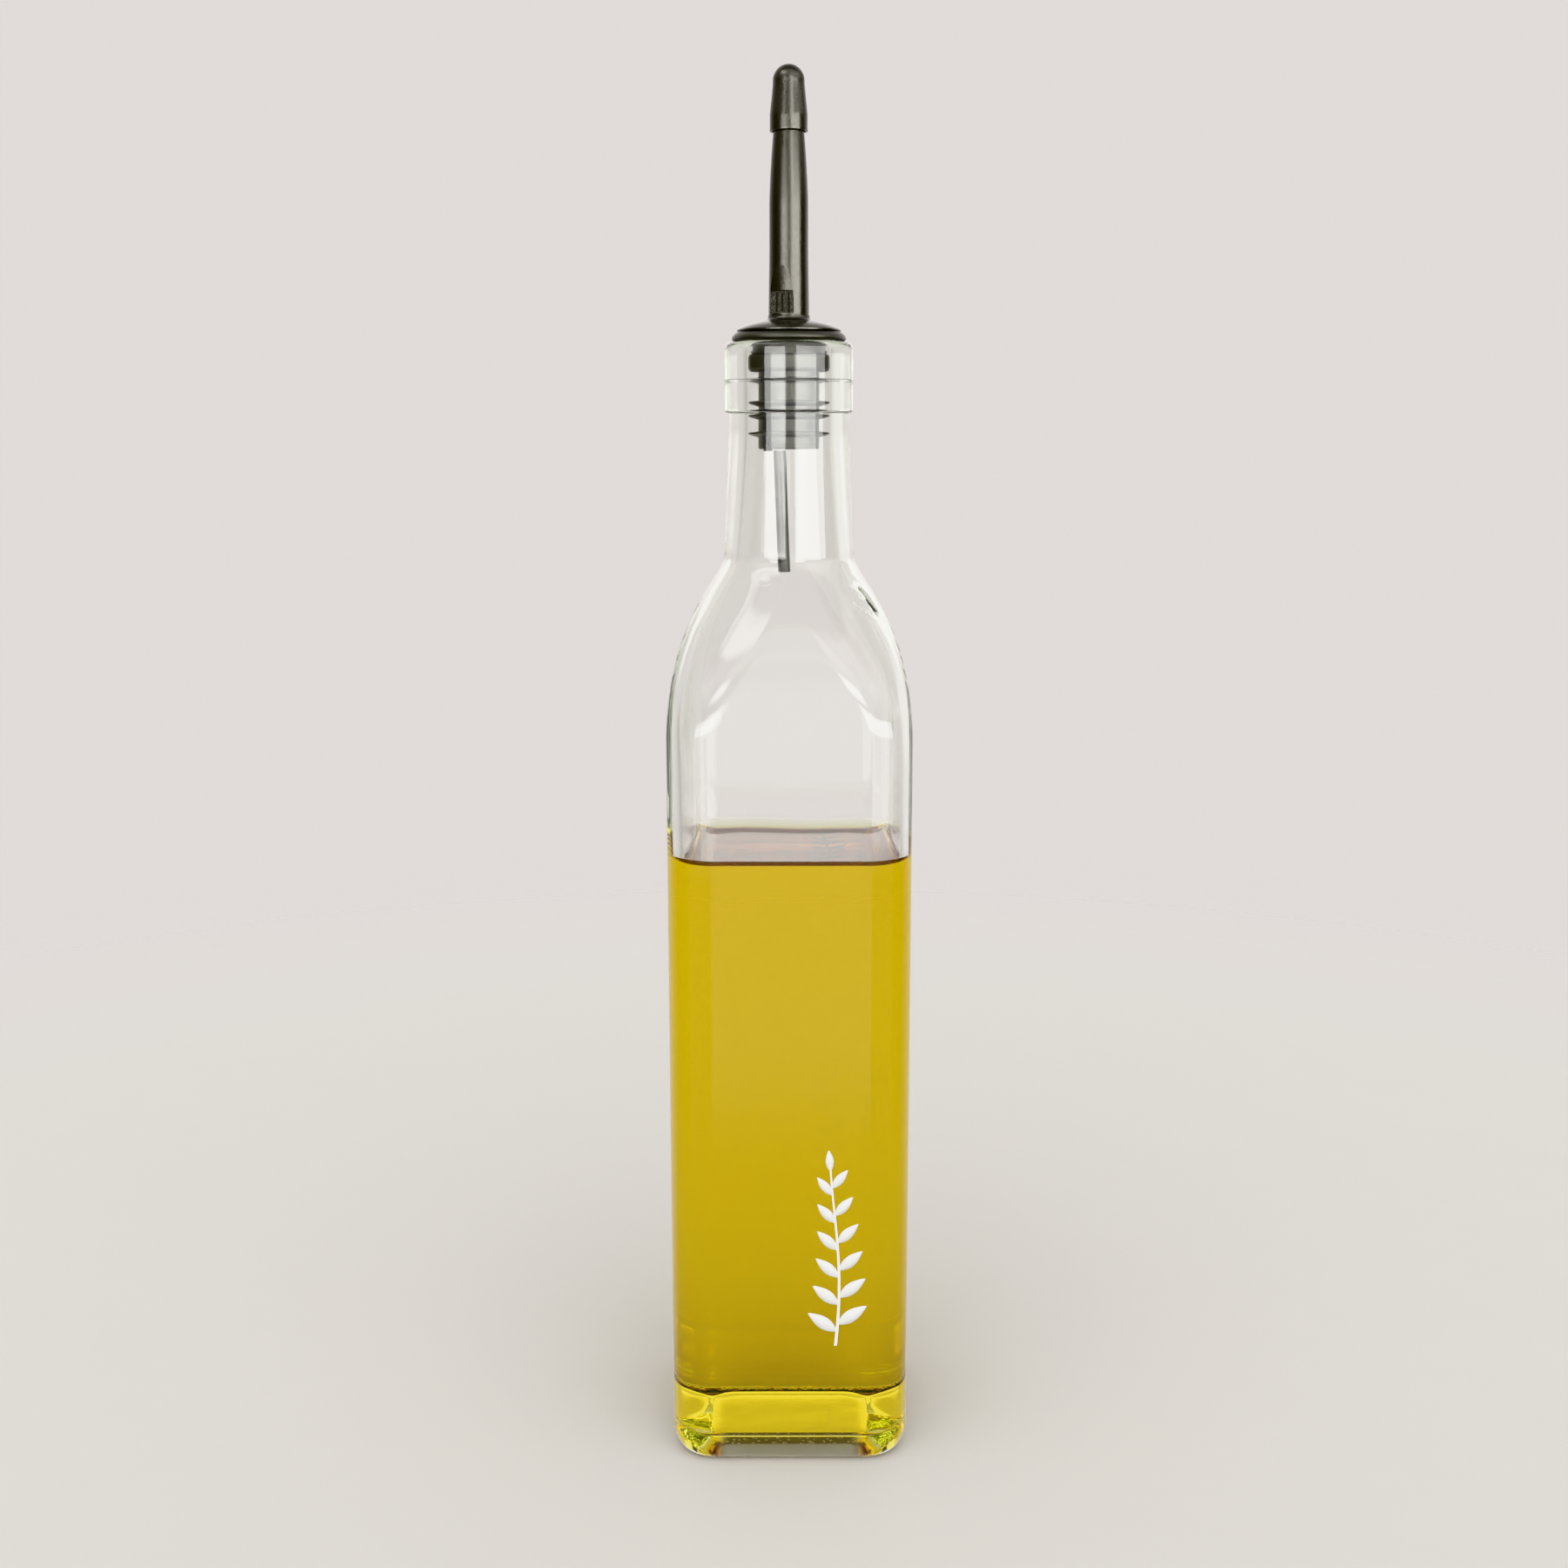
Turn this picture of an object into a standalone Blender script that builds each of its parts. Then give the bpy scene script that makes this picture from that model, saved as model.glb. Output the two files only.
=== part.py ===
"""Square glass oil bottle with a moulded pourer.

A clear glass bottle with a round neck holds olive oil up to a little over half its height. A black
ribbed stopper sits in its mouth and carries a tapered spout with a small dust cap, and a thin air
tube hangs from the stopper into the neck.

Units are metres, +Z is up and the front faces -Y. The origin is the middle of the base, on the
surface that the bottle stands on. A section is a square with round corners, which becomes a circle
where its corner radius reaches half its width. A profile is a list of (half width, height) points.
"""
import math

import bmesh
import bpy
from mathutils import Vector

# Glass body
BODY_WIDTH = 0.0570
BODY_CORNER = 0.0105
GLASS_HEIGHT = 0.2655
WALL = 0.0028
HEEL_WIDTH = 0.0038
HEEL_HEIGHT = 0.0068
PUSH_UP = 0.0024
PUSH_UP_TOP = 0.0185
PUSH_UP_HALF = 0.0222
PUSH_UP_CORNER_SHARE = 0.28
FLOOR_THICKNESS = 0.0052
FLOOR_FILLET = 0.0040
FLOOR_CORNER = 0.0030
CAVITY_CORNER = 0.0080
CAVITY_OFFSET = 0.0003

# Shoulder and neck
SHOULDER_FOOT = 0.1745
SHOULDER_PULL = 0.0305
NECK_FOOT = 0.2175
NECK_FOOT_PULL = 0.0071
NECK_FOOT_RADIUS = 0.0153
NECK_RADIUS = 0.01405
NECK_SWEEP = 1.6
ROUND_BY = 0.2130
BORE_RADIUS = 0.0098
BORE_END = 0.2460
BORE_FOOT = 0.2168
BORE_FOOT_RADIUS = 0.0120
BORE_SWEEP = 1.3
BORE_SHOULDER_DROP = 0.0017

# Finish ring round the mouth
RING_RADIUS = 0.0149
RING_FOOT = 0.2495
RING_FOOT_ROUNDING = 0.0004
LIP_OUTER_ROUNDING = 0.0015
MOUTH_FLARE = (0.0014, 0.0028)
MOUTH_PULL = (0.0009, 0.0014)
BORE_LIP_CREASE = 0.0002
PARTING_HEIGHT = 0.2568
PARTING_RIDGE = 0.00010
PARTING_HALF = 0.00018

# Oil
OIL_LEVEL = 0.1462
MENISCUS_RISE = 0.0017
MENISCUS_REACH = 0.0036
MENISCUS_SWEEP = 2.5

# Stopper
CORE_RADIUS = 0.0071
CORE_END = 0.2413
CORE_CHAMFER = 0.0003
FIN_RADIUS = 0.0095
FIN_HEIGHTS = (0.2449, 0.2489, 0.2519, 0.2571)
FIN_TIP = 0.00030
FIN_ROOT_BELOW = 0.0010
FIN_ROOT_ABOVE = 0.0004
COLLAR_FOOT = 0.2588
COLLAR_TOP = 0.2627
STOPPER_NECK_RADIUS = 0.0085
COLLAR_ROUNDING = 0.0009
RIM_RADIUS = 0.01340
RIM_THICKNESS = 0.0018
RIM_BULGE = 0.0001
RIM_FOOT_INSET = 0.0006
RIM_TOP_INSET = 0.0010
CORE_RIB_AZIMUTH = 229.0
CORE_RIB_SIZE = (0.0014, 0.0013, 0.0068)
CORE_RIB_DROP = 0.0005
CORE_RIB_SINK = 0.0002

# Spout
DOME_RADIUS = 0.0121
DOME_CHAMFER = (0.0002, 0.0001)
DOME_EDGE = 0.0004
DOME_TOP = 0.0025
DOME_EDGE_PULL = (0.0013, 0.0010)
DOME_TOP_PULL = (0.0020, 0.0004)
DOME_FILLET_RADIUS = 0.0060
DOME_FILLET_PULL = (0.0007, 0.0001)
SPOUT_LEDGE = 0.00015
SPOUT_LEDGE_PULL = 0.0004
SPOUT_LEDGE_HEIGHT = 0.0001
SPOUT_FOOT_RADIUS = 0.00472
SPOUT_FOOT = 0.2717
SPOUT_MIDDLE_RADIUS = 0.00455
SPOUT_MIDDLE = 0.2960
SPOUT_NECK_RADIUS = 0.0036
SPOUT_NECK = 0.3124
SPOUT_SWEEP = 1.5
SPOUT_TIP_RADIUS = 0.00295
SPOUT_TIP = 0.3222
SPOUT_TIP_CHAMFER = 0.0003

# Air vent at the spout's foot
VENT_AZIMUTH = 244.0
SCOOP_SWEEP_RADIUS = 0.0340
SCOOP_DEPTH = 0.0011
SCOOP_SWEEP_FOOT = 0.2745
SCOOP_TOP = 0.2860
SCOOP_FOOT = 0.2719
SCOOP_WIDTH = 0.0140
BOSS_SIZE = (0.0026, 0.0036, 0.0056)
BOSS_TOP = 0.2766
BOSS_FACE = 0.0042
SLOT_SIZE = (0.0012, 0.0007, 0.0042)
SLOT_LIFT = 0.0006
SLOT_SHIFTS = (-0.0009, 0.0005)

# Dust cap
CAP_RIM_RADIUS = 0.0044
CAP_CROWN_RADIUS = 0.0037
CAP_RIM = 0.3123
CAP_WALL_TOP = 0.3157
CAP_TOP = 0.3270
CAP_RIM_ROUNDING = 0.00015

# Air tube
TUBE_RADIUS = 0.00145
TUBE_BORE = 0.0008
TUBE_TOP = (-0.00215, -0.0030)
TUBE_END = (-0.00112, -0.0022)
TUBE_END_HEIGHT = 0.2122

# Clearance between pieces that touch, and number of points round each piece
GAP = 0.0003
CORNER_POINTS = 9
SHOULDER_STEPS = 12
SPOUT_STEPS = 10
ROUND_POINTS = 32
CAP_POINTS = 28
TUBE_POINTS = 16

# Colours are linear RGB
GLASS = {"color": (0.86, 0.90, 0.86), "roughness": 0.02, "transmission": 1.0, "ior": 1.52}
OIL = {"color": (0.62, 0.45, 0.01), "roughness": 0.02, "transmission": 1.0, "ior": 1.47}
BLACK_PLASTIC = {"color": (0.018, 0.019, 0.013), "roughness": 0.28}
TUBE_PLASTIC = {"color": (0.030, 0.031, 0.026), "roughness": 0.30}


def clear_scene():
    for thing in list(bpy.data.objects):
        bpy.data.objects.remove(thing, do_unlink=True)


def material(name, color, roughness, transmission=0.0, ior=1.5):
    finish = bpy.data.materials.new(name)
    finish.use_nodes = True
    shader = finish.node_tree.nodes["Principled BSDF"]
    shader.inputs["Base Color"].default_value = (*color, 1.0)
    shader.inputs["Roughness"].default_value = roughness
    shader.inputs["Metallic"].default_value = 0.0
    shader.inputs["Transmission Weight"].default_value = transmission
    shader.inputs["IOR"].default_value = ior
    finish.diffuse_color = (*color, 1.0)
    return finish


def smoothstep(value):
    value = min(max(value, 0.0), 1.0)
    return value * value * (3.0 - 2.0 * value)


def mix(start, end, share):
    return start + (end - start) * share


def arc(center, radius, start, end, steps):
    """Profile points on an arc, with its angles in degrees from the outward axis."""
    turns = [math.radians(mix(start, end, i / steps)) for i in range(steps + 1)]
    return [(center[0] + radius * math.cos(t), center[1] + radius * math.sin(t)) for t in turns]


def bezier(p0, p1, p2, p3, steps):
    """Profile points on a cubic curve."""
    points = []
    for i in range(steps + 1):
        t = i / steps
        weights = ((1 - t) ** 3, 3 * t * (1 - t) ** 2, 3 * t * t * (1 - t), t ** 3)
        point = [sum(w * p[axis] for w, p in zip(weights, (p0, p1, p2, p3))) for axis in (0, 1)]
        points.append(tuple(point))
    return points


def section(half, corner, height, offset=0.0):
    """One ring of points: a square with round corners, or a circle where corner equals half.

    The first and last points of each corner slide from the circle's even spacing to the ends of the
    corner's arc as the section gets flat sides, so that every ring has the same number of points.
    """
    flat = half - corner
    spacing = 90.0 / (CORNER_POINTS + 1)
    first = spacing * (1.0 - min(flat / corner, 1.0))
    ring = []
    for quarter in range(4):
        turn = math.radians(90 * quarter)
        side = [(half, 0.0)]
        for i in range(CORNER_POINTS):
            angle = math.radians(mix(first, 90.0 - first, i / (CORNER_POINTS - 1)))
            side.append((flat + corner * math.cos(angle), flat + corner * math.sin(angle)))
        for x, y in side:
            ring.append(Vector((
                offset + x * math.cos(turn) - y * math.sin(turn),
                x * math.sin(turn) + y * math.cos(turn),
                height,
            )))
    return ring


def circle(radius, height, count, center=(0.0, 0.0)):
    ring = []
    for i in range(count):
        turn = 2 * math.pi * i / count
        x = center[0] + radius * math.cos(turn)
        y = center[1] + radius * math.sin(turn)
        ring.append(Vector((x, y, height)))
    return ring


def loft(rings, first_pole=None, last_pole=None):
    """A mesh through rings of equal count that run up the outside, closed by a pole at each end."""
    mesh = bmesh.new()
    loops = [[mesh.verts.new(point) for point in ring] for ring in rings]
    count = len(rings[0])
    pairs = list(zip(loops, loops[1:]))
    if first_pole is None:
        pairs.append((loops[-1], loops[0]))
    for low, high in pairs:
        for i in range(count):
            j = (i + 1) % count
            mesh.faces.new((low[i], low[j], high[j], high[i]))
    if first_pole is not None:
        pole = mesh.verts.new(first_pole)
        for i in range(count):
            mesh.faces.new((pole, loops[0][(i + 1) % count], loops[0][i]))
    if last_pole is not None:
        pole = mesh.verts.new(last_pole)
        for i in range(count):
            mesh.faces.new((pole, loops[-1][i], loops[-1][(i + 1) % count]))
    return mesh


def add_piece(name, mesh, finish, sharp_angle=40.0):
    bmesh.ops.recalc_face_normals(mesh, faces=mesh.faces)
    data = bpy.data.meshes.new(name)
    mesh.to_mesh(data)
    mesh.free()
    data.shade_smooth()
    data.set_sharp_from_angle(angle=math.radians(sharp_angle))
    piece = bpy.data.objects.new(name, data)
    bpy.context.collection.objects.link(piece)
    if finish is not None:
        data.materials.append(finish)
    return piece


def turned(name, profile, finish, count=ROUND_POINTS):
    """A turned piece whose profile starts and ends on the axis."""
    rings = [circle(radius, height, count) for radius, height in profile[1:-1]]
    mesh = loft(rings, (0.0, 0.0, profile[0][1]), (0.0, 0.0, profile[-1][1]))
    return add_piece(name, mesh, finish)


def box_cutter(name, size, center, azimuth):
    """A box whose local +X points outwards at an azimuth in degrees, kept out of the render."""
    mesh = bmesh.new()
    bmesh.ops.create_cube(mesh, size=1.0)
    bmesh.ops.scale(mesh, vec=size, verts=mesh.verts)
    cutter = add_piece(name, mesh, None)
    cutter.location = center
    cutter.rotation_euler = (0.0, 0.0, math.radians(azimuth))
    hide_cutter(cutter)
    return cutter


def hide_cutter(cutter):
    cutter.hide_render = True
    cutter.display_type = "WIRE"


def add_boolean(piece, cutter, operation):
    modifier = piece.modifiers.new(cutter.name, "BOOLEAN")
    modifier.operation = operation
    modifier.object = cutter
    modifier.solver = "EXACT"


def outwards(azimuth, distance, height):
    turn = math.radians(azimuth)
    return Vector((distance * math.cos(turn), distance * math.sin(turn), height))


def squareness(height):
    """How far the section is still a square: 1 in the body and 0 where the neck is round."""
    return 1.0 - smoothstep((height - SHOULDER_FOOT) / (ROUND_BY - SHOULDER_FOOT))


def outer_section(half, height):
    inset = max(BODY_WIDTH / 2 - half, 0.0) if height < SHOULDER_FOOT else 0.0
    return section(half, mix(half, BODY_CORNER - inset, squareness(height)), height)


def cavity_section(half, height):
    square = squareness(height)
    return section(half, mix(half, CAVITY_CORNER, square), height, CAVITY_OFFSET * square)


def base_rings():
    """The push-up under the base, the ring that the bottle stands on, and the heel."""
    rings = []
    rim_middle = mix(PUSH_UP_TOP, PUSH_UP_HALF, 0.5)
    push_up = (
        (PUSH_UP_TOP * 0.5, PUSH_UP),
        (PUSH_UP_TOP, PUSH_UP),
        (rim_middle, PUSH_UP * 0.5),
        (PUSH_UP_HALF, 0.0),
    )
    for half, height in push_up:
        rings.append(section(half, half * PUSH_UP_CORNER_SHARE, height))
    for out, up in arc((0.0, 0.0), 1.0, -90, 0, 5):
        half = BODY_WIDTH / 2 - HEEL_WIDTH * (1.0 - out)
        rings.append(outer_section(half, HEEL_HEIGHT * (1.0 + up)))
    return rings


def outside_profile():
    """The outside from the shoulder's foot to the lip."""
    widest = BODY_WIDTH / 2
    shoulder = bezier(
        (widest, SHOULDER_FOOT),
        (widest, SHOULDER_FOOT + SHOULDER_PULL),
        (NECK_FOOT_RADIUS, NECK_FOOT - NECK_FOOT_PULL),
        (NECK_FOOT_RADIUS, NECK_FOOT),
        SHOULDER_STEPS,
    )
    neck = []
    for i in range(1, 5):
        height = mix(NECK_FOOT, RING_FOOT, i / 4)
        flare = ((RING_FOOT - height) / (RING_FOOT - NECK_FOOT)) ** NECK_SWEEP
        neck.append((mix(NECK_RADIUS, NECK_FOOT_RADIUS, flare), height))
    ring_foot_center = (RING_RADIUS - RING_FOOT_ROUNDING, RING_FOOT + RING_FOOT_ROUNDING)
    ring_foot = arc(ring_foot_center, RING_FOOT_ROUNDING, -90, 0, 2)
    parting = [
        (RING_RADIUS, PARTING_HEIGHT - PARTING_HALF),
        (RING_RADIUS + PARTING_RIDGE, PARTING_HEIGHT),
        (RING_RADIUS, PARTING_HEIGHT + PARTING_HALF),
    ]
    lip_center = (RING_RADIUS - LIP_OUTER_ROUNDING, GLASS_HEIGHT - LIP_OUTER_ROUNDING)
    return shoulder + neck + ring_foot + parting + arc(lip_center, LIP_OUTER_ROUNDING, 0, 90, 4)


def inside_profile():
    """The inside from the lip down to the foot of the shoulder."""
    flare_width, flare_height = MOUTH_FLARE
    mouth = bezier(
        (BORE_RADIUS + flare_width, GLASS_HEIGHT),
        (BORE_RADIUS + flare_width - MOUTH_PULL[0], GLASS_HEIGHT),
        (BORE_RADIUS + BORE_LIP_CREASE, GLASS_HEIGHT - MOUTH_PULL[1]),
        (BORE_RADIUS, GLASS_HEIGHT - flare_height),
        4,
    )
    bore = []
    for i in range(6):
        height = mix(BORE_END, BORE_FOOT, i / 5)
        flare = ((BORE_END - height) / (BORE_END - BORE_FOOT)) ** BORE_SWEEP
        bore.append((mix(BORE_RADIUS, BORE_FOOT_RADIUS, flare), height))
    widest = BODY_WIDTH / 2 - WALL
    shoulder = bezier(
        (BORE_FOOT_RADIUS, BORE_FOOT),
        (BORE_FOOT_RADIUS, BORE_FOOT - NECK_FOOT_PULL),
        (widest, SHOULDER_FOOT + SHOULDER_PULL - BORE_SHOULDER_DROP),
        (widest, SHOULDER_FOOT),
        SHOULDER_STEPS,
    )
    return mouth + bore + shoulder[1:]


def floor_rings(gap=0.0):
    """The foot of the cavity, or of what fills it with a gap all round, from the wall to the middle."""
    widest = BODY_WIDTH / 2 - WALL - gap
    center = (widest + gap - FLOOR_FILLET, FLOOR_THICKNESS + FLOOR_FILLET)
    fillet = arc(center, FLOOR_FILLET - gap, 0, -90, 5)
    rings = []
    for half, height in fillet:
        corner = max(CAVITY_CORNER - gap - (widest - half), FLOOR_CORNER)
        rings.append(section(half, corner, height, CAVITY_OFFSET))
    flat_half, floor = fillet[-1]
    for share in (0.6, 0.3):
        corner = mix(flat_half * share, FLOOR_CORNER, share)
        rings.append(section(flat_half * share, corner, floor, CAVITY_OFFSET))
    return rings


def add_glass_bottle():
    rings = base_rings()
    rings += [outer_section(half, height) for half, height in outside_profile()]
    rings += [cavity_section(half, height) for half, height in inside_profile()]
    rings += floor_rings()
    mesh = loft(rings, (0.0, 0.0, PUSH_UP), (CAVITY_OFFSET, 0.0, FLOOR_THICKNESS))
    return add_piece("glass_bottle", mesh, material("clear_glass", **GLASS))


def add_olive_oil():
    widest = BODY_WIDTH / 2 - WALL
    rings = floor_rings(GAP)[::-1]
    for share in (1.0, 0.55, 0.2, 0.0):
        half = widest - MENISCUS_REACH * (1.0 - share)
        corner = CAVITY_CORNER - MENISCUS_REACH * (1.0 - share)
        height = OIL_LEVEL + MENISCUS_RISE * share ** MENISCUS_SWEEP
        rings.append(section(half - GAP, corner - GAP, height, CAVITY_OFFSET))
    mesh = loft(
        rings,
        (CAVITY_OFFSET, 0.0, FLOOR_THICKNESS + GAP),
        (CAVITY_OFFSET, 0.0, OIL_LEVEL),
    )
    return add_piece("olive_oil", mesh, material("olive_oil", **OIL))


def add_stopper():
    """The ribbed stopper: core, fins, collar and the rim that lies on the lip."""
    profile = [
        (0.0, CORE_END),
        (CORE_RADIUS - CORE_CHAMFER, CORE_END),
        (CORE_RADIUS, CORE_END + CORE_CHAMFER),
    ]
    for height in FIN_HEIGHTS:
        profile += [
            (CORE_RADIUS, height - FIN_ROOT_BELOW),
            (FIN_RADIUS, height - FIN_TIP),
            (FIN_RADIUS, height + FIN_TIP / 3),
            (CORE_RADIUS, height + FIN_ROOT_ABOVE),
        ]
    profile.append((CORE_RADIUS, COLLAR_FOOT))
    inner = FIN_RADIUS - COLLAR_ROUNDING
    profile += arc((inner, COLLAR_FOOT + COLLAR_ROUNDING), COLLAR_ROUNDING, -90, 0, 3)
    profile += arc((inner, COLLAR_TOP - COLLAR_ROUNDING), COLLAR_ROUNDING, 0, 60, 2)
    under_rim = GLASS_HEIGHT + GAP
    profile.append((STOPPER_NECK_RADIUS, COLLAR_TOP))
    profile.append((STOPPER_NECK_RADIUS, under_rim))
    profile += bezier(
        (RIM_RADIUS - RIM_FOOT_INSET, under_rim),
        (RIM_RADIUS + RIM_BULGE, under_rim),
        (RIM_RADIUS + RIM_BULGE, under_rim + RIM_THICKNESS - RIM_FOOT_INSET),
        (RIM_RADIUS - RIM_TOP_INSET, under_rim + RIM_THICKNESS),
        5,
    )
    profile.append((0.0, under_rim + RIM_THICKNESS))
    stopper = turned("pourer_stopper", profile, material("black_stopper", **BLACK_PLASTIC))
    rib_height = CORE_END - CORE_RIB_DROP + CORE_RIB_SIZE[2] / 2
    rib_center = outwards(CORE_RIB_AZIMUTH, CORE_RADIUS - CORE_RIB_SINK, rib_height)
    rib = box_cutter("core_rib", CORE_RIB_SIZE, rib_center, CORE_RIB_AZIMUTH)
    add_boolean(stopper, rib, "UNION")
    return stopper


def spout_foot():
    return GLASS_HEIGHT + GAP + RIM_THICKNESS + GAP


def spout_radius(height):
    """Radius of the tapered spout from its foot to its tip."""
    if height < SPOUT_MIDDLE:
        share = (height - SPOUT_FOOT) / (SPOUT_MIDDLE - SPOUT_FOOT)
        return mix(SPOUT_FOOT_RADIUS, SPOUT_MIDDLE_RADIUS, smoothstep(share * SPOUT_SWEEP))
    share = (height - SPOUT_MIDDLE) / (SPOUT_NECK - SPOUT_MIDDLE)
    return mix(SPOUT_MIDDLE_RADIUS, SPOUT_NECK_RADIUS, min(share, 1.0) ** SPOUT_SWEEP)


def add_spout():
    """The flat dome that lies on the stopper's rim, and the spout that rises from it."""
    foot = spout_foot()
    top = foot + DOME_TOP
    ledge = SPOUT_FOOT_RADIUS + SPOUT_LEDGE
    profile = [
        (0.0, foot),
        (DOME_RADIUS - DOME_CHAMFER[0], foot),
        (DOME_RADIUS, foot + DOME_CHAMFER[1]),
    ]
    profile += bezier(
        (DOME_RADIUS, foot + DOME_EDGE),
        (DOME_RADIUS - DOME_EDGE_PULL[0], foot + DOME_EDGE + DOME_EDGE_PULL[1]),
        (DOME_FILLET_RADIUS + DOME_TOP_PULL[0], top - DOME_TOP_PULL[1]),
        (DOME_FILLET_RADIUS, top),
        5,
    )
    profile += bezier(
        (DOME_FILLET_RADIUS, top),
        (DOME_FILLET_RADIUS - DOME_FILLET_PULL[0], top + DOME_FILLET_PULL[1]),
        (ledge, top + SPOUT_LEDGE_PULL),
        (ledge, SPOUT_FOOT - SPOUT_LEDGE_HEIGHT),
        4,
    )[1:]
    profile.append((SPOUT_FOOT_RADIUS, SPOUT_FOOT))
    for i in range(1, SPOUT_STEPS + 1):
        height = mix(SPOUT_FOOT, SPOUT_NECK, i / SPOUT_STEPS)
        profile.append((spout_radius(height), height))
    profile.append((SPOUT_TIP_RADIUS, SPOUT_TIP - SPOUT_TIP_CHAMFER))
    profile.append((SPOUT_TIP_RADIUS - SPOUT_TIP_CHAMFER, SPOUT_TIP))
    profile.append((0.0, SPOUT_TIP))
    spout = turned("pourer_spout", profile, material("black_spout", **BLACK_PLASTIC))
    add_vent(spout)
    return spout


def scoop_cutter():
    """A block whose inner face sweeps down into the spout and ends square on the dome's fillet."""
    deepest = SPOUT_FOOT_RADIUS - SCOOP_DEPTH
    outline = [(2 * SPOUT_FOOT_RADIUS, SCOOP_TOP)]
    for i in range(SPOUT_STEPS + 1):
        height = mix(SCOOP_TOP, SCOOP_SWEEP_FOOT, i / SPOUT_STEPS)
        rise = height - SCOOP_SWEEP_FOOT
        sweep = SCOOP_SWEEP_RADIUS - math.sqrt(SCOOP_SWEEP_RADIUS ** 2 - rise ** 2)
        outline.append((deepest + sweep, height))
    outline += [(deepest, SCOOP_FOOT), (2 * SPOUT_FOOT_RADIUS, SCOOP_FOOT)]
    mesh = bmesh.new()
    corners = [mesh.verts.new((distance, -SCOOP_WIDTH / 2, height)) for distance, height in outline]
    face = mesh.faces.new(corners)
    sides = bmesh.ops.extrude_face_region(mesh, geom=[face])["geom"]
    moved = [item for item in sides if isinstance(item, bmesh.types.BMVert)]
    bmesh.ops.translate(mesh, vec=(0.0, SCOOP_WIDTH, 0.0), verts=moved)
    scoop = add_piece("vent_scoop", mesh, None)
    scoop.rotation_euler = (0.0, 0.0, math.radians(VENT_AZIMUTH))
    hide_cutter(scoop)
    return scoop


def add_vent(spout):
    """The scooped hollow over the spout's foot, and the slotted boss of the air hole in it."""
    add_boolean(spout, scoop_cutter(), "DIFFERENCE")
    depth, _, height = BOSS_SIZE
    boss_center = outwards(VENT_AZIMUTH, BOSS_FACE - depth / 2, BOSS_TOP - height / 2)
    add_boolean(spout, box_cutter("vent_boss", BOSS_SIZE, boss_center, VENT_AZIMUTH), "UNION")
    sideways = outwards(VENT_AZIMUTH + 90.0, 1.0, 0.0)
    slot_height = SPOUT_FOOT + SLOT_LIFT + SLOT_SIZE[2] / 2
    for number, shift in enumerate(SLOT_SHIFTS):
        center = outwards(VENT_AZIMUTH, BOSS_FACE, slot_height) + sideways * shift
        slot = box_cutter(f"vent_slot_{number}", SLOT_SIZE, center, VENT_AZIMUTH)
        add_boolean(spout, slot, "DIFFERENCE")


def add_cap():
    """The dust cap: a thin cup with a round crown over the spout's tip."""
    crown_height = CAP_TOP - CAP_CROWN_RADIUS
    profile = [(0.0, SPOUT_TIP + GAP)]
    profile.append((SPOUT_TIP_RADIUS + GAP, SPOUT_TIP + GAP))
    profile.append((SPOUT_NECK_RADIUS + GAP, CAP_RIM + CAP_RIM_ROUNDING))
    profile.append((SPOUT_NECK_RADIUS + GAP + CAP_RIM_ROUNDING, CAP_RIM))
    profile.append((CAP_RIM_RADIUS - CAP_RIM_ROUNDING, CAP_RIM))
    profile.append((CAP_RIM_RADIUS, CAP_RIM + CAP_RIM_ROUNDING))
    profile.append((CAP_RIM_RADIUS, CAP_WALL_TOP))
    taper_radius = mix(CAP_RIM_RADIUS, CAP_CROWN_RADIUS, 0.5)
    profile.append((taper_radius, mix(CAP_WALL_TOP, crown_height, 0.5)))
    profile += arc((0.0, crown_height), CAP_CROWN_RADIUS, 0, 90, 8)
    return turned("spout_cap", profile, material("black_cap", **BLACK_PLASTIC), CAP_POINTS)


def add_air_tube():
    top_height = CORE_END - GAP
    ends = ((TUBE_END, TUBE_END_HEIGHT), (TUBE_TOP, top_height))
    rings = [circle(TUBE_RADIUS, height, TUBE_POINTS, center) for center, height in ends]
    rings += [circle(TUBE_BORE, height, TUBE_POINTS, center) for center, height in ends[::-1]]
    return add_piece("air_tube", loft(rings), material("tube_plastic", **TUBE_PLASTIC))


def main():
    clear_scene()
    add_glass_bottle()
    add_olive_oil()
    add_stopper()
    add_spout()
    add_cap()
    add_air_tube()


main()
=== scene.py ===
"""Looks of a square glass oil bottle with a moulded pourer, laid out as a Blender add-on.

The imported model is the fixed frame. Each operator makes one piece, or one group of like pieces, in
place of the node that it stands for. Units are metres, +Z is up and the front faces -Y.

Most pieces grow from a profile: rows of half width, corner radius and height, from one pole or rim to
the other. A node tree turns each row into a ring, a square with round corners that is a circle where
the corner radius equals the half width.
"""
import math

import bmesh
import bpy
from bpy.props import FloatProperty, FloatVectorProperty, IntProperty, PointerProperty
from mathutils import Matrix, Vector


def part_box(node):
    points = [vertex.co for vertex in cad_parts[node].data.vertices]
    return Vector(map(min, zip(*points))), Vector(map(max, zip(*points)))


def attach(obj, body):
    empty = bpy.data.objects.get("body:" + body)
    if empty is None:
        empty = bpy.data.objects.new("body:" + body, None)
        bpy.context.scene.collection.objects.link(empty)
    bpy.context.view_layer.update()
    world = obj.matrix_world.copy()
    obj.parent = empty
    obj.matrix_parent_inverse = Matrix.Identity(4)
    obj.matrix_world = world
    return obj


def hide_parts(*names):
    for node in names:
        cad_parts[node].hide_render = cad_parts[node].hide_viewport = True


bl_info = {
    "name": "Glass oil bottle with pourer",
    "version": (1, 0, 0),
    "blender": (4, 5, 0),
    "location": "View3D > Sidebar > Oil bottle",
    "description": "Builds a square glass oil bottle with its oil, print and moulded pourer",
    "category": "Object",
}

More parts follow.
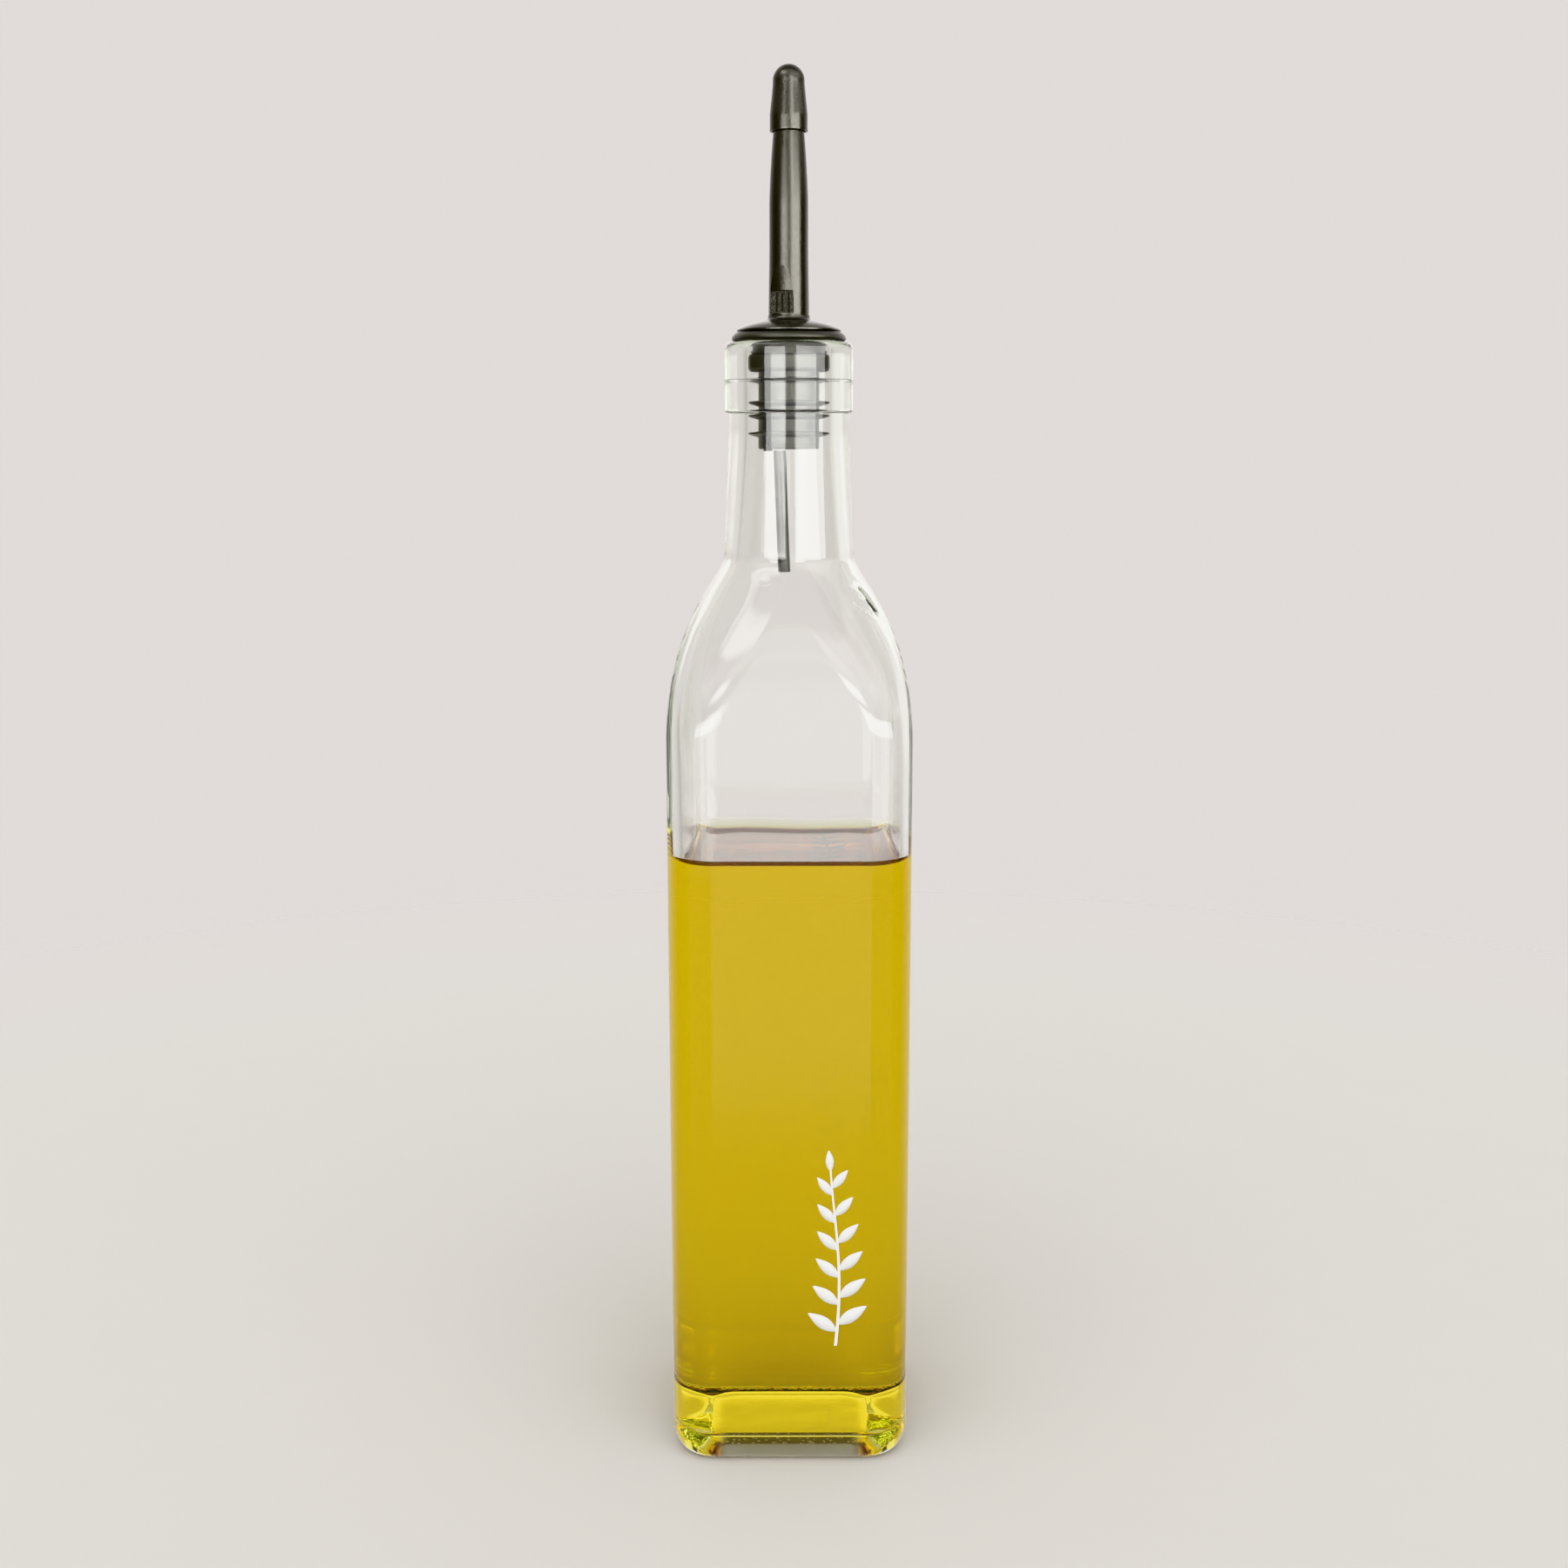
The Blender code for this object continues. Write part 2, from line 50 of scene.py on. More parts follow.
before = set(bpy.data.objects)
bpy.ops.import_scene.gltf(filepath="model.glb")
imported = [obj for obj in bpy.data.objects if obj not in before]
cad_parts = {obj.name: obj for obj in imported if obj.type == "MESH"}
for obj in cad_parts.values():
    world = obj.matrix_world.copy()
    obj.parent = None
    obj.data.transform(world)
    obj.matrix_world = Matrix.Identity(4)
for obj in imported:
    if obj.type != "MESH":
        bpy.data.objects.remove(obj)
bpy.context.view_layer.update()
BODY = "root"

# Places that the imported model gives
GLASS_LOW, GLASS_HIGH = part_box("glass_bottle")
STOPPER_LOW, STOPPER_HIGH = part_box("pourer_stopper")
SPOUT_LOW, SPOUT_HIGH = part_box("pourer_spout")
CAP_LOW, CAP_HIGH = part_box("spout_cap")
TUBE_LOW, TUBE_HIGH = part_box("air_tube")

# How finely the pieces are drawn
BOTTLE_POINTS = 176
TURNED_POINTS = 96
TUBE_POINTS = 40
CROWDING = 0.6
MERGE = 0.0000015
SHARP_ANGLE = 38.0
# Shares of the push-up's flat middle, and millimetres from the wall over the oil, where rings stand
PUSH_UP_SHARES = (0.3, 0.6, 0.85)
SURFACE_DISTANCES = (
    0.0, 0.08, 0.16, 0.26, 0.38, 0.52, 0.7, 0.95, 1.3, 1.8, 2.5, 3.5, 5.0, 7.5, 11.0, 16.0, 21.0
)

# What a face carries for the glass and the oil: whether oil wets it, and how much painted shade darkens
# its edge lines
FACE_MARKS = ("wetted", "seam")

# Forms that no packed box gives
PUSH_UP_CORNER_SHARE = 0.28
RING_FOOT_ROUNDING = 0.0006
PARTING_RIDGE = 0.0001
LIP_ROUNDING = 0.0015
COLLAR_ROUNDING = 0.0009
AIR_GAP = 0.0003
FIN_HEIGHTS = (0.2449, 0.2489, 0.2519, 0.2571)
RIB_AZIMUTH = math.radians(229.0)
RIB_SIZE = (0.0014, 0.0013, 0.0068)
VENT_AZIMUTH = math.radians(244.0)
SLOT_SIZE = (0.0012, 0.0007, 0.0042)
SCOOP_RADIUS = 0.0340
SCOOP_FOOT = 0.2745
SCOOP_TOP = 0.2860
TUBE_FOOT = Vector((-0.00112, -0.0022))
TUBE_HEAD = Vector((-0.00215, -0.0030))

# Finishes
GLASS_IOR = 1.52
OIL_IOR = 1.47
PLASTIC_IOR = 1.49
# Places and sizes of the traces that the oil left under the neck
OIL_TRACES = (
    ((0.0165, -0.0110, 0.2062), 0.0070),
    ((-0.0050, -0.0130, 0.2115), 0.0024),
)
WHITE = (1.0, 1.0, 1.0, 1.0)
BLACK = (0.0, 0.0, 0.0, 1.0)


def linear(code):
    """Linear RGB of an sRGB hex value."""
    shares = [int(code[i:i + 2], 16) / 255 for i in (1, 3, 5)]
    return tuple(c / 12.92 if c <= 0.04045 else ((c + 0.055) / 1.055) ** 2.4 for c in shares)


def length(name, description, default):
    return FloatProperty(
        name=name, description=description, default=default, unit="LENGTH", precision=5
    )


def colour(name, description, code):
    return FloatVectorProperty(
        name=name, description=description, default=linear(code), subtype="COLOR", size=3
    )


class BottleSizes(bpy.types.PropertyGroup):
    """The glass: a square body, a shoulder that turns round, a neck and a finish ring."""

    width: length("Body width", "Side of the square body", GLASS_HIGH.x - GLASS_LOW.x)
    height: length("Height", "From the table to the lip", GLASS_HIGH.z)
    corner: length("Corner radius", "Outer radius of the body's upright edges", 0.0105)
    wall: length("Wall", "Thickness of the body's wall", 0.0028)
    heel: length("Heel width", "How far the rounding between base and body reaches in", 0.0038)
    heel_rise: length("Heel height", "How far that rounding reaches up", 0.0068)
    push_up: length("Push-up", "Height of the hollow under the base", 0.0024)
    push_up_half: length("Push-up half width", "From the axis to the bearing ring", 0.0222)
    push_up_top: length("Push-up top", "Half width of the push-up's flat middle", 0.0185)
    floor: length("Floor", "Height of the oil's floor over the table", 0.0052)
    fillet: length("Floor fillet", "Rounding between the wall and the floor inside", 0.0040)
    cavity_corner: length("Inner corner", "Inner radius of the upright edges", 0.0080)
    lean: length("Cavity shift", "How far the blown cavity stands off the axis", 0.0003)
    shoulder_foot: length("Shoulder foot", "Height where the sides start to draw in", 0.1745)
    shoulder_pull: length("Shoulder pull", "Reach of the shoulder's lower curve", 0.0305)
    neck_foot: length("Neck foot", "Height where the neck starts", 0.2175)
    neck_foot_radius: length("Neck foot radius", "Outer radius at the neck's foot", 0.0153)
    neck_radius: length("Neck radius", "Outer radius under the ring", 0.01405)
    bore_radius: length("Bore radius", "Inner radius of the mouth", 0.0098)
    bore_end: length("Bore end", "Height where the straight bore ends", 0.2460)
    bore_foot: length("Bore foot", "Height where the bore meets the shoulder", 0.2168)
    bore_foot_radius: length("Bore foot radius", "Inner radius at the bore's foot", 0.0120)
    ring_radius: length("Ring radius", "Outer radius of the finish ring", 0.0149)
    ring_foot: length("Ring foot", "Height of the finish ring's lower edge", 0.2495)
    parting: length("Parting line", "Height of the mould's line on the ring", 0.2568)
    wave: length("Wave", "How far the blown inner wall waves in and out", 0.00022)
    wave_length: length("Wave length", "From one wave of the inner wall to the next", 0.030)


class OilSizes(bpy.types.PropertyGroup):
    """The oil's free surface, and how far it reaches into the glass."""

    level: length("Level", "Height of the oil's flat surface", 0.1462)
    rise: length("Meniscus", "How far the oil climbs up the glass", 0.0022)
    reach: length("Meniscus reach", "How far from the wall the climb fades", 0.0017)
    bite: length("Bite", "How far the oil's skin lies inside the wall", 0.00006)


class PourerSizes(bpy.types.PropertyGroup):
    """The stopper, spout, dust cap and air tube."""

    core: length("Core radius", "Radius of the stopper's core", 0.0071)
    fin: length("Fin radius", "Radius of the stopper's fins", 0.0095)
    fin_tip: length("Fin tip", "Thickness of a fin at its tip", 0.00040)
    fin_root: length("Fin root", "Thickness of a fin at the core", 0.0014)
    collar_foot: length("Collar foot", "Height of the collar's lower edge", 0.2588)
    collar_top: length("Collar top", "Height of the collar's upper edge", 0.2627)
    neck: length("Stopper neck radius", "Radius between the collar and the rim", 0.0085)
    rim: length("Rim radius", "Radius of the rim on the lip", STOPPER_HIGH.x)
    dome: length("Dome radius", "Radius of the spout's foot plate", SPOUT_HIGH.x)
    spout_foot: length("Spout foot", "Height where the spout's shaft starts", 0.2717)
    spout_foot_radius: length("Spout foot radius", "Radius at the shaft's foot", 0.00472)
    spout_middle: length("Spout middle", "Height where the taper starts", 0.2960)
    spout_middle_radius: length("Spout middle radius", "Radius where the taper starts", 0.00455)
    spout_neck: length("Spout neck", "Height where the shaft enters the cap", 0.3124)
    spout_neck_radius: length("Spout neck radius", "Radius under the cap", 0.0036)
    cap_rim: length("Cap rim radius", "Outer radius of the dust cap's rim", CAP_HIGH.x)
    cap_crown: length("Cap crown radius", "Radius of the dust cap's round end", 0.0037)
    tube: length("Tube radius", "Outer radius of the air tube", 0.00145)
    tube_bore: length("Tube bore", "Inner radius of the air tube", 0.0008)


class PrintSizes(bpy.types.PropertyGroup):
    """The white sprig on the front."""

    foot: length("Foot", "Height of the sprig's lower end", 0.0305)
    top: length("Top", "Height of the sprig's tip", 0.0755)
    side: length("Side", "How far right of the middle the stem stands", 0.0105)
    stroke: length("Stroke", "Width of the stem's line", 0.00075)
    leaf: length("Leaf", "Length of the longest leaf", 0.0088)
    pairs: IntProperty(name="Pairs", description="Pairs of leaves on the stem", default=6, min=1)
    film: length("Film", "Thickness of the vinyl", 0.00004)


class Colours(bpy.types.PropertyGroup):
    """Colours of the finishes and of the stage."""

    glass: colour("Glass", "What a long way through the glass leaves of white", "#D4E3C8")
    oil: colour("Oil", "What a long way through the oil leaves of white", "#FBF35A")
    plastic: colour("Black plastic", "Body colour of the pourer", "#15160F")
    tube: colour("Tube plastic", "Body colour of the air tube", "#2A2B26")
    vinyl: colour("Vinyl", "Body colour of the print", "#FBFBF8")
    floor: colour("Floor", "The pale board under the bottle", "#EEEBE5")
    backdrop: colour("Backdrop", "The light wall behind", "#E7E1DF")
    ceiling: colour("Ceiling", "The ceiling, as surfaces mirror it", "#A8A6A2")
    room: colour("Room", "The darker room in front, as surfaces mirror it", "#BCB9B3")


class StageSizes(bpy.types.PropertyGroup):
    """The camera and the soft lights."""

    distance: length("Camera distance", "From the bottle's axis, along the floor", 0.4552)
    height: length("Camera height", "Over the table", 0.2430)
    sideways: length("Camera shift", "How far left of the axis the camera stands", 0.00116)
    lens: FloatProperty(name="Lens", description="Focal length in mm", default=44.0, min=1.0)
    pitch: FloatProperty(
        name="Pitch",
        description="How far the camera looks down",
        default=math.radians(10.14),
        subtype="ANGLE",
    )
    roll: FloatProperty(
        name="Roll",
        description="How far the camera leans to the right",
        default=math.radians(0.065),
        subtype="ANGLE",
    )
    left_light: FloatProperty(name="Left light", description="Strength", default=7.0, min=0.0)
    right_light: FloatProperty(name="Right light", description="Strength", default=6.2, min=0.0)
    front: FloatProperty(name="Front", description="Light of the room behind the camera", default=0.7)
    behind: FloatProperty(name="Behind", description="Light low on the backdrop", default=0.7)
    dark: FloatProperty(name="Dark sides", description="How much dark sides take", default=0.42)
    fill: FloatProperty(name="Fill", description="Even light on matt surfaces", default=0.46, min=0.0)
    key: FloatProperty(
        name="Key", description="Soft light from the front on matt surfaces", default=1.79, min=0.0
    )


class BottleSettings(bpy.types.PropertyGroup):
    """All sizes and colours of the bottle and its stage."""

    bottle: PointerProperty(type=BottleSizes)
    oil: PointerProperty(type=OilSizes)
    pourer: PointerProperty(type=PourerSizes)
    print: PointerProperty(type=PrintSizes)
    colours: PointerProperty(type=Colours)
    stage: PointerProperty(type=StageSizes)


def mix(start, end, part):
    return start + (end - start) * part


def smoothstep(value):
    value = min(max(value, 0.0), 1.0)
    return value * value * (3.0 - 2.0 * value)


def arc(center, radius, start, end, steps):
    """Points on an arc, with its angles in degrees from the outward axis."""
    turns = [math.radians(mix(start, end, i / steps)) for i in range(steps + 1)]
    return [(center[0] + radius * math.cos(t), center[1] + radius * math.sin(t)) for t in turns]


def bezier(p0, p1, p2, p3, steps):
    """Points on a cubic curve."""
    points = []
    for i in range(steps + 1):
        t = i / steps
        weights = ((1 - t) ** 3, 3 * t * (1 - t) ** 2, 3 * t * t * (1 - t), t ** 3)
        points.append(tuple(
            sum(w * p[axis] for w, p in zip(weights, (p0, p1, p2, p3))) for axis in (0, 1)
        ))
    return points


def straight(start, end, steps):
    """Points between two profile points, without the ends."""
    return [
        (mix(start[0], end[0], i / steps), mix(start[1], end[1], i / steps))
        for i in range(1, steps)
    ]


def add_node(tree, kind, settings=None, inputs=None):
    """Adds a node, with its own settings and with a value or another node's socket on its inputs."""
    node = tree.nodes.new(kind)
    for name, value in (settings or {}).items():
        setattr(node, name, value)
    for key, value in (inputs or {}).items():
        if isinstance(value, bpy.types.NodeSocket):
            tree.links.new(value, node.inputs[key])
        else:
            node.inputs[key].default_value = value
    return node


def compute(tree, known, steps):
    """Works through steps of (result, operation, operands), and returns all values by name.

    An operation is a Math node's, or RAMP, which rises softly from 0 at a start to 1 at an end.
    """
    known = dict(known)
    for result, operation, *operands in steps:
        values = [known.get(word, word) for word in operands]
        if operation == "RAMP":
            kind, settings = "ShaderNodeMapRange", {"interpolation_type": "SMOOTHSTEP"}
            inputs = dict(zip(("Value", "From Min", "From Max"), values))
        else:
            kind, settings = "ShaderNodeMath", {"operation": operation}
            inputs = dict(enumerate(values))
        known[result] = add_node(tree, kind, settings, inputs).outputs[0]
    return known


def new_tree(name, sockets):
    """A geometry node tree with a geometry input and output and named inputs, and its input node."""
    tree = bpy.data.node_groups.new(name, "GeometryNodeTree")
    tree.interface.new_socket("Geometry", in_out="OUTPUT", socket_type="NodeSocketGeometry")
    tree.interface.new_socket("Geometry", in_out="INPUT", socket_type="NodeSocketGeometry")
    for label, kind in sockets:
        tree.interface.new_socket(label, in_out="INPUT", socket_type=kind)
    return tree, add_node(tree, "NodeGroupInput").outputs


def end_tree(tree, geometry, finish):
    """Ends a tree in real, smooth faces that wear the finish."""
    real = add_node(tree, "GeometryNodeRealizeInstances", inputs={"Geometry": geometry})
    smooth = add_node(tree, "GeometryNodeSetShadeSmooth", inputs={"Geometry": real.outputs[0]})
    dressed = add_node(
        tree, "GeometryNodeSetMaterial", inputs={"Geometry": smooth.outputs[0], "Material": finish}
    )
    add_node(tree, "NodeGroupOutput", inputs={0: dressed.outputs[0]})


RING_RULE = (
    ("quarters", "MULTIPLY", "share", 4.0),
    ("lag", "MULTIPLY", "quarters", 2 * math.pi),
    ("pull", "SINE", "lag"),
    ("pull", "MULTIPLY", "pull", "crowding"),
    ("pull", "DIVIDE", "pull", 2 * math.pi),
    ("angle", "ADD", "quarters", "pull"),
    ("angle", "MULTIPLY", "angle", math.pi / 2),
    ("cos", "COSINE", "angle"),
    ("sin", "SINE", "angle"),
    ("across", "ABSOLUTE", "cos"),
    ("along", "ABSOLUTE", "sin"),
    ("long", "MAXIMUM", "across", "along"),
    ("short", "MINIMUM", "across", "along"),
    ("flat", "SUBTRACT", "half", "corner"),
    ("to side", "DIVIDE", "half", "long"),
    ("sum", "ADD", "long", "short"),
    ("sum", "MULTIPLY", "sum", "flat"),
    ("skew", "SUBTRACT", "long", "short"),
    ("skew", "MULTIPLY", "skew", "flat"),
    ("skew", "MULTIPLY", "skew", "skew"),
    ("square", "MULTIPLY", "corner", "corner"),
    ("root", "SUBTRACT", "square", "skew"),
    ("root", "MAXIMUM", "root", 0.0),
    ("root", "SQRT", "root"),
    ("to corner", "ADD", "sum", "root"),
    ("short side", "MULTIPLY", "short", "half"),
    ("flat side", "MULTIPLY", "long", "flat"),
    ("on side", "LESS_THAN", "short side", "flat side"),
    ("turned", "SUBTRACT", 1.0, "on side"),
    ("to side", "MULTIPLY", "to side", "on side"),
    ("to corner", "MULTIPLY", "to corner", "turned"),
    ("reach", "ADD", "to side", "to corner"),
)


def ring_tree():
    """Turns each row of a profile into a ring: (half width, corner radius, height) as its position.

    The rows' attributes are shift, which moves a ring along +X, wave, the share of the wall's wave
    that it takes, and the face marks, which go to the faces that start at the row.
    """
    tree, given = new_tree("rounded square rings", (
        ("Points", "NodeSocketInt"),
        ("Crowding", "NodeSocketFloat"),
        ("Wave", "NodeSocketFloat"),
        ("Wave Length", "NodeSocketFloat"),
        ("Wave Seed", "NodeSocketFloat"),
        ("Finish", "NodeSocketMaterial"),
    ))
    rows = add_node(
        tree, "GeometryNodeAttributeDomainSize", inputs={"Geometry": given["Geometry"]}
    ).outputs["Point Count"]
    index = add_node(tree, "GeometryNodeInputIndex").outputs[0]
    places = compute(tree, {"index": index, "points": given["Points"]}, (
        ("columns", "ADD", "points", 1.0),
        ("middle", "ADD", "index", 0.5),
        ("row", "DIVIDE", "middle", "columns"),
        ("row", "FLOOR", "row"),
        ("before", "MULTIPLY", "row", "columns"),
        ("column", "SUBTRACT", "index", "before"),
        ("share", "DIVIDE", "column", "points"),
        ("face row", "DIVIDE", "middle", "points"),
        ("face row", "FLOOR", "face row"),
    ))
    grid = add_node(
        tree, "GeometryNodeMeshGrid", inputs={"Vertices X": rows, "Vertices Y": places["columns"]}
    ).outputs["Mesh"]

    def sampled(kind, value, row):
        settings = {"data_type": kind, "domain": "POINT"}
        inputs = {"Geometry": given["Geometry"], "Value": value, "Index": row}
        return add_node(tree, "GeometryNodeSampleIndex", settings, inputs).outputs[0]

    def named(name, row):
        attribute = add_node(
            tree, "GeometryNodeInputNamedAttribute", {"data_type": "FLOAT"}, {"Name": name}
        )
        return sampled("FLOAT", attribute.outputs[0], row)

    own_place = add_node(tree, "GeometryNodeInputPosition").outputs[0]
    profile = add_node(
        tree, "ShaderNodeSeparateXYZ", inputs={0: sampled("FLOAT_VECTOR", own_place, places["row"])}
    ).outputs
    known = {
        "share": places["share"],
        "crowding": given["Crowding"],
        "half": profile[0],
        "corner": profile[1],
        "shift": named("shift", places["row"]),
        "wave share": named("wave", places["row"]),
        "wave": given["Wave"],
        "wave length": given["Wave Length"],
    }
    known = compute(tree, known, RING_RULE + (
        ("plain x", "MULTIPLY", "cos", "reach"),
        ("plain y", "MULTIPLY", "sin", "reach"),
        ("wave scale", "DIVIDE", 1.0, "wave length"),
    ))
    plain = add_node(
        tree, "ShaderNodeCombineXYZ", inputs={0: known["plain x"], 1: known["plain y"], 2: profile[2]}
    )
    noise = add_node(tree, "ShaderNodeTexNoise", {"noise_dimensions": "4D"}, {
        "Vector": plain.outputs[0],
        "W": given["Wave Seed"],
        "Scale": known["wave scale"],
        "Detail": 1.0,
    })
    known["noise"] = noise.outputs["Fac"]
    known = compute(tree, known, (
        ("swing", "SUBTRACT", "noise", 0.5),
        ("swing", "MULTIPLY", "swing", 4.0),
        ("swing", "MULTIPLY", "swing", "wave"),
        ("swing", "MULTIPLY", "swing", "wave share"),
        ("reach", "ADD", "reach", "swing"),
        ("x", "MULTIPLY", "cos", "reach"),
        ("x", "ADD", "x", "shift"),
        ("y", "MULTIPLY", "sin", "reach"),
    ))
    place = add_node(
        tree, "ShaderNodeCombineXYZ", inputs={0: known["x"], 1: known["y"], 2: profile[2]}
    )
    marked = grid
    for name in FACE_MARKS:
        marked = add_node(
            tree,
            "GeometryNodeStoreNamedAttribute",
            {"data_type": "FLOAT", "domain": "FACE"},
            {"Geometry": marked, "Name": name, "Value": named(name, places["face row"])},
        ).outputs[0]
    moved = add_node(
        tree,
        "GeometryNodeSetPosition",
        inputs={"Geometry": marked, "Position": place.outputs[0]},
    )
    closed = add_node(
        tree,
        "GeometryNodeMergeByDistance",
        inputs={"Geometry": moved.outputs[0], "Distance": MERGE},
    )
    outward = add_node(tree, "GeometryNodeFlipFaces", inputs={"Mesh": closed.outputs[0]})
    end_tree(tree, outward.outputs[0], given["Finish"])
    return tree


def profile_mesh(rows):
    """A mesh of points, one for each row of (half, height), or of a dict with more on the ring."""
    mesh = bpy.data.meshes.new("profile")
    places = []
    for row in rows:
        places.append((row["half"], row.get("corner", row["half"]), row["height"]))
    mesh.from_pydata(places, [], [])
    for name in ("shift", "wave", *FACE_MARKS):
        layer = mesh.attributes.new(name, "FLOAT", "POINT")
        layer.data.foreach_set("value", [row.get(name, 0.0) for row in rows])
    return mesh


def round_rows(points):
    """Rows of a turned piece from its (radius, height) points."""
    return [{"half": radius, "height": height} for radius, height in points]


def evaluated(piece):
    """Keeps what the piece's modifiers make as its own plain mesh."""
    bpy.context.view_layer.update()
    graph = bpy.context.evaluated_depsgraph_get()
    made = bpy.data.meshes.new_from_object(
        piece.evaluated_get(graph), preserve_all_data_layers=True, depsgraph=graph
    )
    piece.modifiers.clear()
    piece.data = made
    return piece


def grow(name, mesh, tree, values):
    """Runs a node tree on a mesh and keeps the result as a piece of its own."""
    piece = bpy.data.objects.new(name, mesh)
    bpy.context.scene.collection.objects.link(piece)
    modifier = piece.modifiers.new(tree.name, "NODES")
    modifier.node_group = tree
    sockets = {s.name: s.identifier for s in tree.interface.items_tree if s.in_out == "INPUT"}
    for label, value in values.items():
        modifier[sockets[label]] = value
    evaluated(piece)
    piece.data.name = name
    return piece


def grow_rings(name, rows, finish, points=TURNED_POINTS, crowding=0.0, wave=(0.0, 1.0)):
    """A piece from a profile, with an even number of points round each ring."""
    piece = grow(name, profile_mesh(rows), ring_tree(), {
        "Points": points,
        "Crowding": crowding,
        "Wave": wave[0],
        "Wave Length": wave[1],
        "Wave Seed": 3.0,
        "Finish": finish,
    })
    piece.data.set_sharp_from_angle(angle=math.radians(SHARP_ANGLE))
    return piece


def place_piece(piece, slot, *nodes):
    """Hands a finished piece to the frame."""
    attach(piece, BODY)
    if nodes:
        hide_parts(*nodes)


def new_material(name):
    finish = bpy.data.materials.new(name)
    finish.use_nodes = True
    finish.node_tree.nodes.clear()
    return finish, finish.node_tree


def soda_glass(colours):
    """Soda-lime glass, blown in a mould and fire polished: clear, mirror smooth and faintly uneven."""
    finish, tree = new_material("fire polished soda-lime glass")
    place = add_node(tree, "ShaderNodeTexCoord").outputs["Object"]
    # Cords in the glass: soft unevenness some 9 mm long, as blown glass has
    cords = add_node(tree, "ShaderNodeTexNoise", inputs={
        "Vector": place, "Scale": 110.0, "Detail": 1.0,
    })
    bump = add_node(tree, "ShaderNodeBump", inputs={
        "Height": cords.outputs["Fac"], "Strength": 1.0, "Distance": 0.000035,
    })
    # Draw marks: fine upright streaks some 1.5 mm wide and 40 mm long
    drawn = add_node(tree, "ShaderNodeVectorMath", {"operation": "MULTIPLY"}, {
        0: place, 1: (1.0, 1.0, 0.04),
    })
    streaks = add_node(tree, "ShaderNodeTexNoise", inputs={
        "Vector": drawn.outputs[0], "Scale": 650.0, "Detail": 1.0,
    })
    bump = add_node(tree, "ShaderNodeBump", inputs={
        "Height": streaks.outputs["Fac"],
        "Strength": 1.0,
        "Distance": 0.000006,
        "Normal": bump.outputs[0],
    })
    # Knurls on the bearing ring, some 1.2 mm apart, which also leave the pale dots in the strip's
    # painted shade
    across, depth, height = add_node(tree, "ShaderNodeSeparateXYZ", inputs={0: place}).outputs
    knurls = add_node(tree, "ShaderNodeTexVoronoi", inputs={"Vector": place, "Scale": 800.0})
    relief = compute(tree, {"height": height, "knurl": knurls.outputs["Distance"]}, (
        ("low", "RAMP", "height", 0.0012, 0.0002),
        ("relief", "MULTIPLY", "knurl", "low"),
    ))["relief"]
    bump = add_node(tree, "ShaderNodeBump", inputs={
        "Height": relief, "Strength": 1.0, "Distance": 0.00025, "Normal": bump.outputs[0],
    })
    # Oil that ran back after the last pour: wrinkled traces at two places under the neck
    film = add_node(tree, "ShaderNodeTexNoise", inputs={
        "Vector": place, "Scale": 200.0, "Detail": 2.0,
    })
    for spot, size in OIL_TRACES:
        away = add_node(tree, "ShaderNodeVectorMath", {"operation": "DISTANCE"}, {0: place, 1: spot})
        relief = compute(tree, {"film": film.outputs["Fac"], "away": away.outputs["Value"]}, (
            ("near", "RAMP", "away", size, size * 0.4),
            ("relief", "MULTIPLY", "film", "near"),
        ))["relief"]
        bump = add_node(tree, "ShaderNodeBump", inputs={
            "Height": relief, "Strength": 1.0, "Distance": 0.0003, "Normal": bump.outputs[0],
        })
    # Painted shade: the mould's parting line and the ring's sharp lower edge are painted as fine dark
    # lines, where real glass shows dark lines by refraction
    seam = add_node(tree, "ShaderNodeAttribute", {"attribute_name": "seam"})
    shade = add_node(tree, "ShaderNodeMix", {"data_type": "RGBA"}, {
        0: seam.outputs["Fac"], 6: WHITE, 7: BLACK,
    })
    # Under the front edge the push-up is matt, and its flat middle is painted dark with pale dots left
    # in it:
    # painted shade for the dark band that the heel shows there. Its sloping rim is matt too but is left
    # pale.
    known = {
        "across": across, "depth": depth, "height": height, "knurl": knurls.outputs["Distance"]
    }
    strip = compute(tree, known, (
        ("beside", "ABSOLUTE", "across"),
        ("low", "RAMP", "height", 0.0032, 0.0027),
        ("inside", "RAMP", "beside", 0.0190, 0.0145),
        ("front", "RAMP", "depth", -0.0143, -0.0150),
        ("above", "RAMP", "depth", -0.0216, -0.0208),
        ("rim", "RAMP", "depth", -0.0182, -0.0188),
        ("dot", "RAMP", "knurl", 0.36, 0.24),
        ("place", "MULTIPLY", "low", "inside"),
        ("part", "MULTIPLY", "front", "above"),
        ("matt", "MULTIPLY", "place", "part"),
        ("hold", "MULTIPLY_ADD", "rim", 0.06, 0.62),
        ("rough", "MULTIPLY", "matt", "hold"),
        ("pale", "MAXIMUM", "rim", "dot"),
        ("dark", "SUBTRACT", 1.0, "pale"),
        ("shaded", "MULTIPLY", "dark", "matt"),
        ("shade", "MULTIPLY", "shaded", 0.8),
        ("clear", "SUBTRACT", 1.0, "rough"),
    ))
    # Painted shade: the dark strip goes into the glass's base colour
    shade = add_node(tree, "ShaderNodeMix", {"data_type": "RGBA"}, {
        0: strip["shade"], 6: shade.outputs[2], 7: BLACK,
    })
    clear = add_node(tree, "ShaderNodeBsdfPrincipled", inputs={
        "Base Color": shade.outputs[2],
        "Roughness": strip["rough"],
        "IOR": GLASS_IOR,
        "Transmission Weight": strip["clear"],
        "Normal": bump.outputs[0],
    })
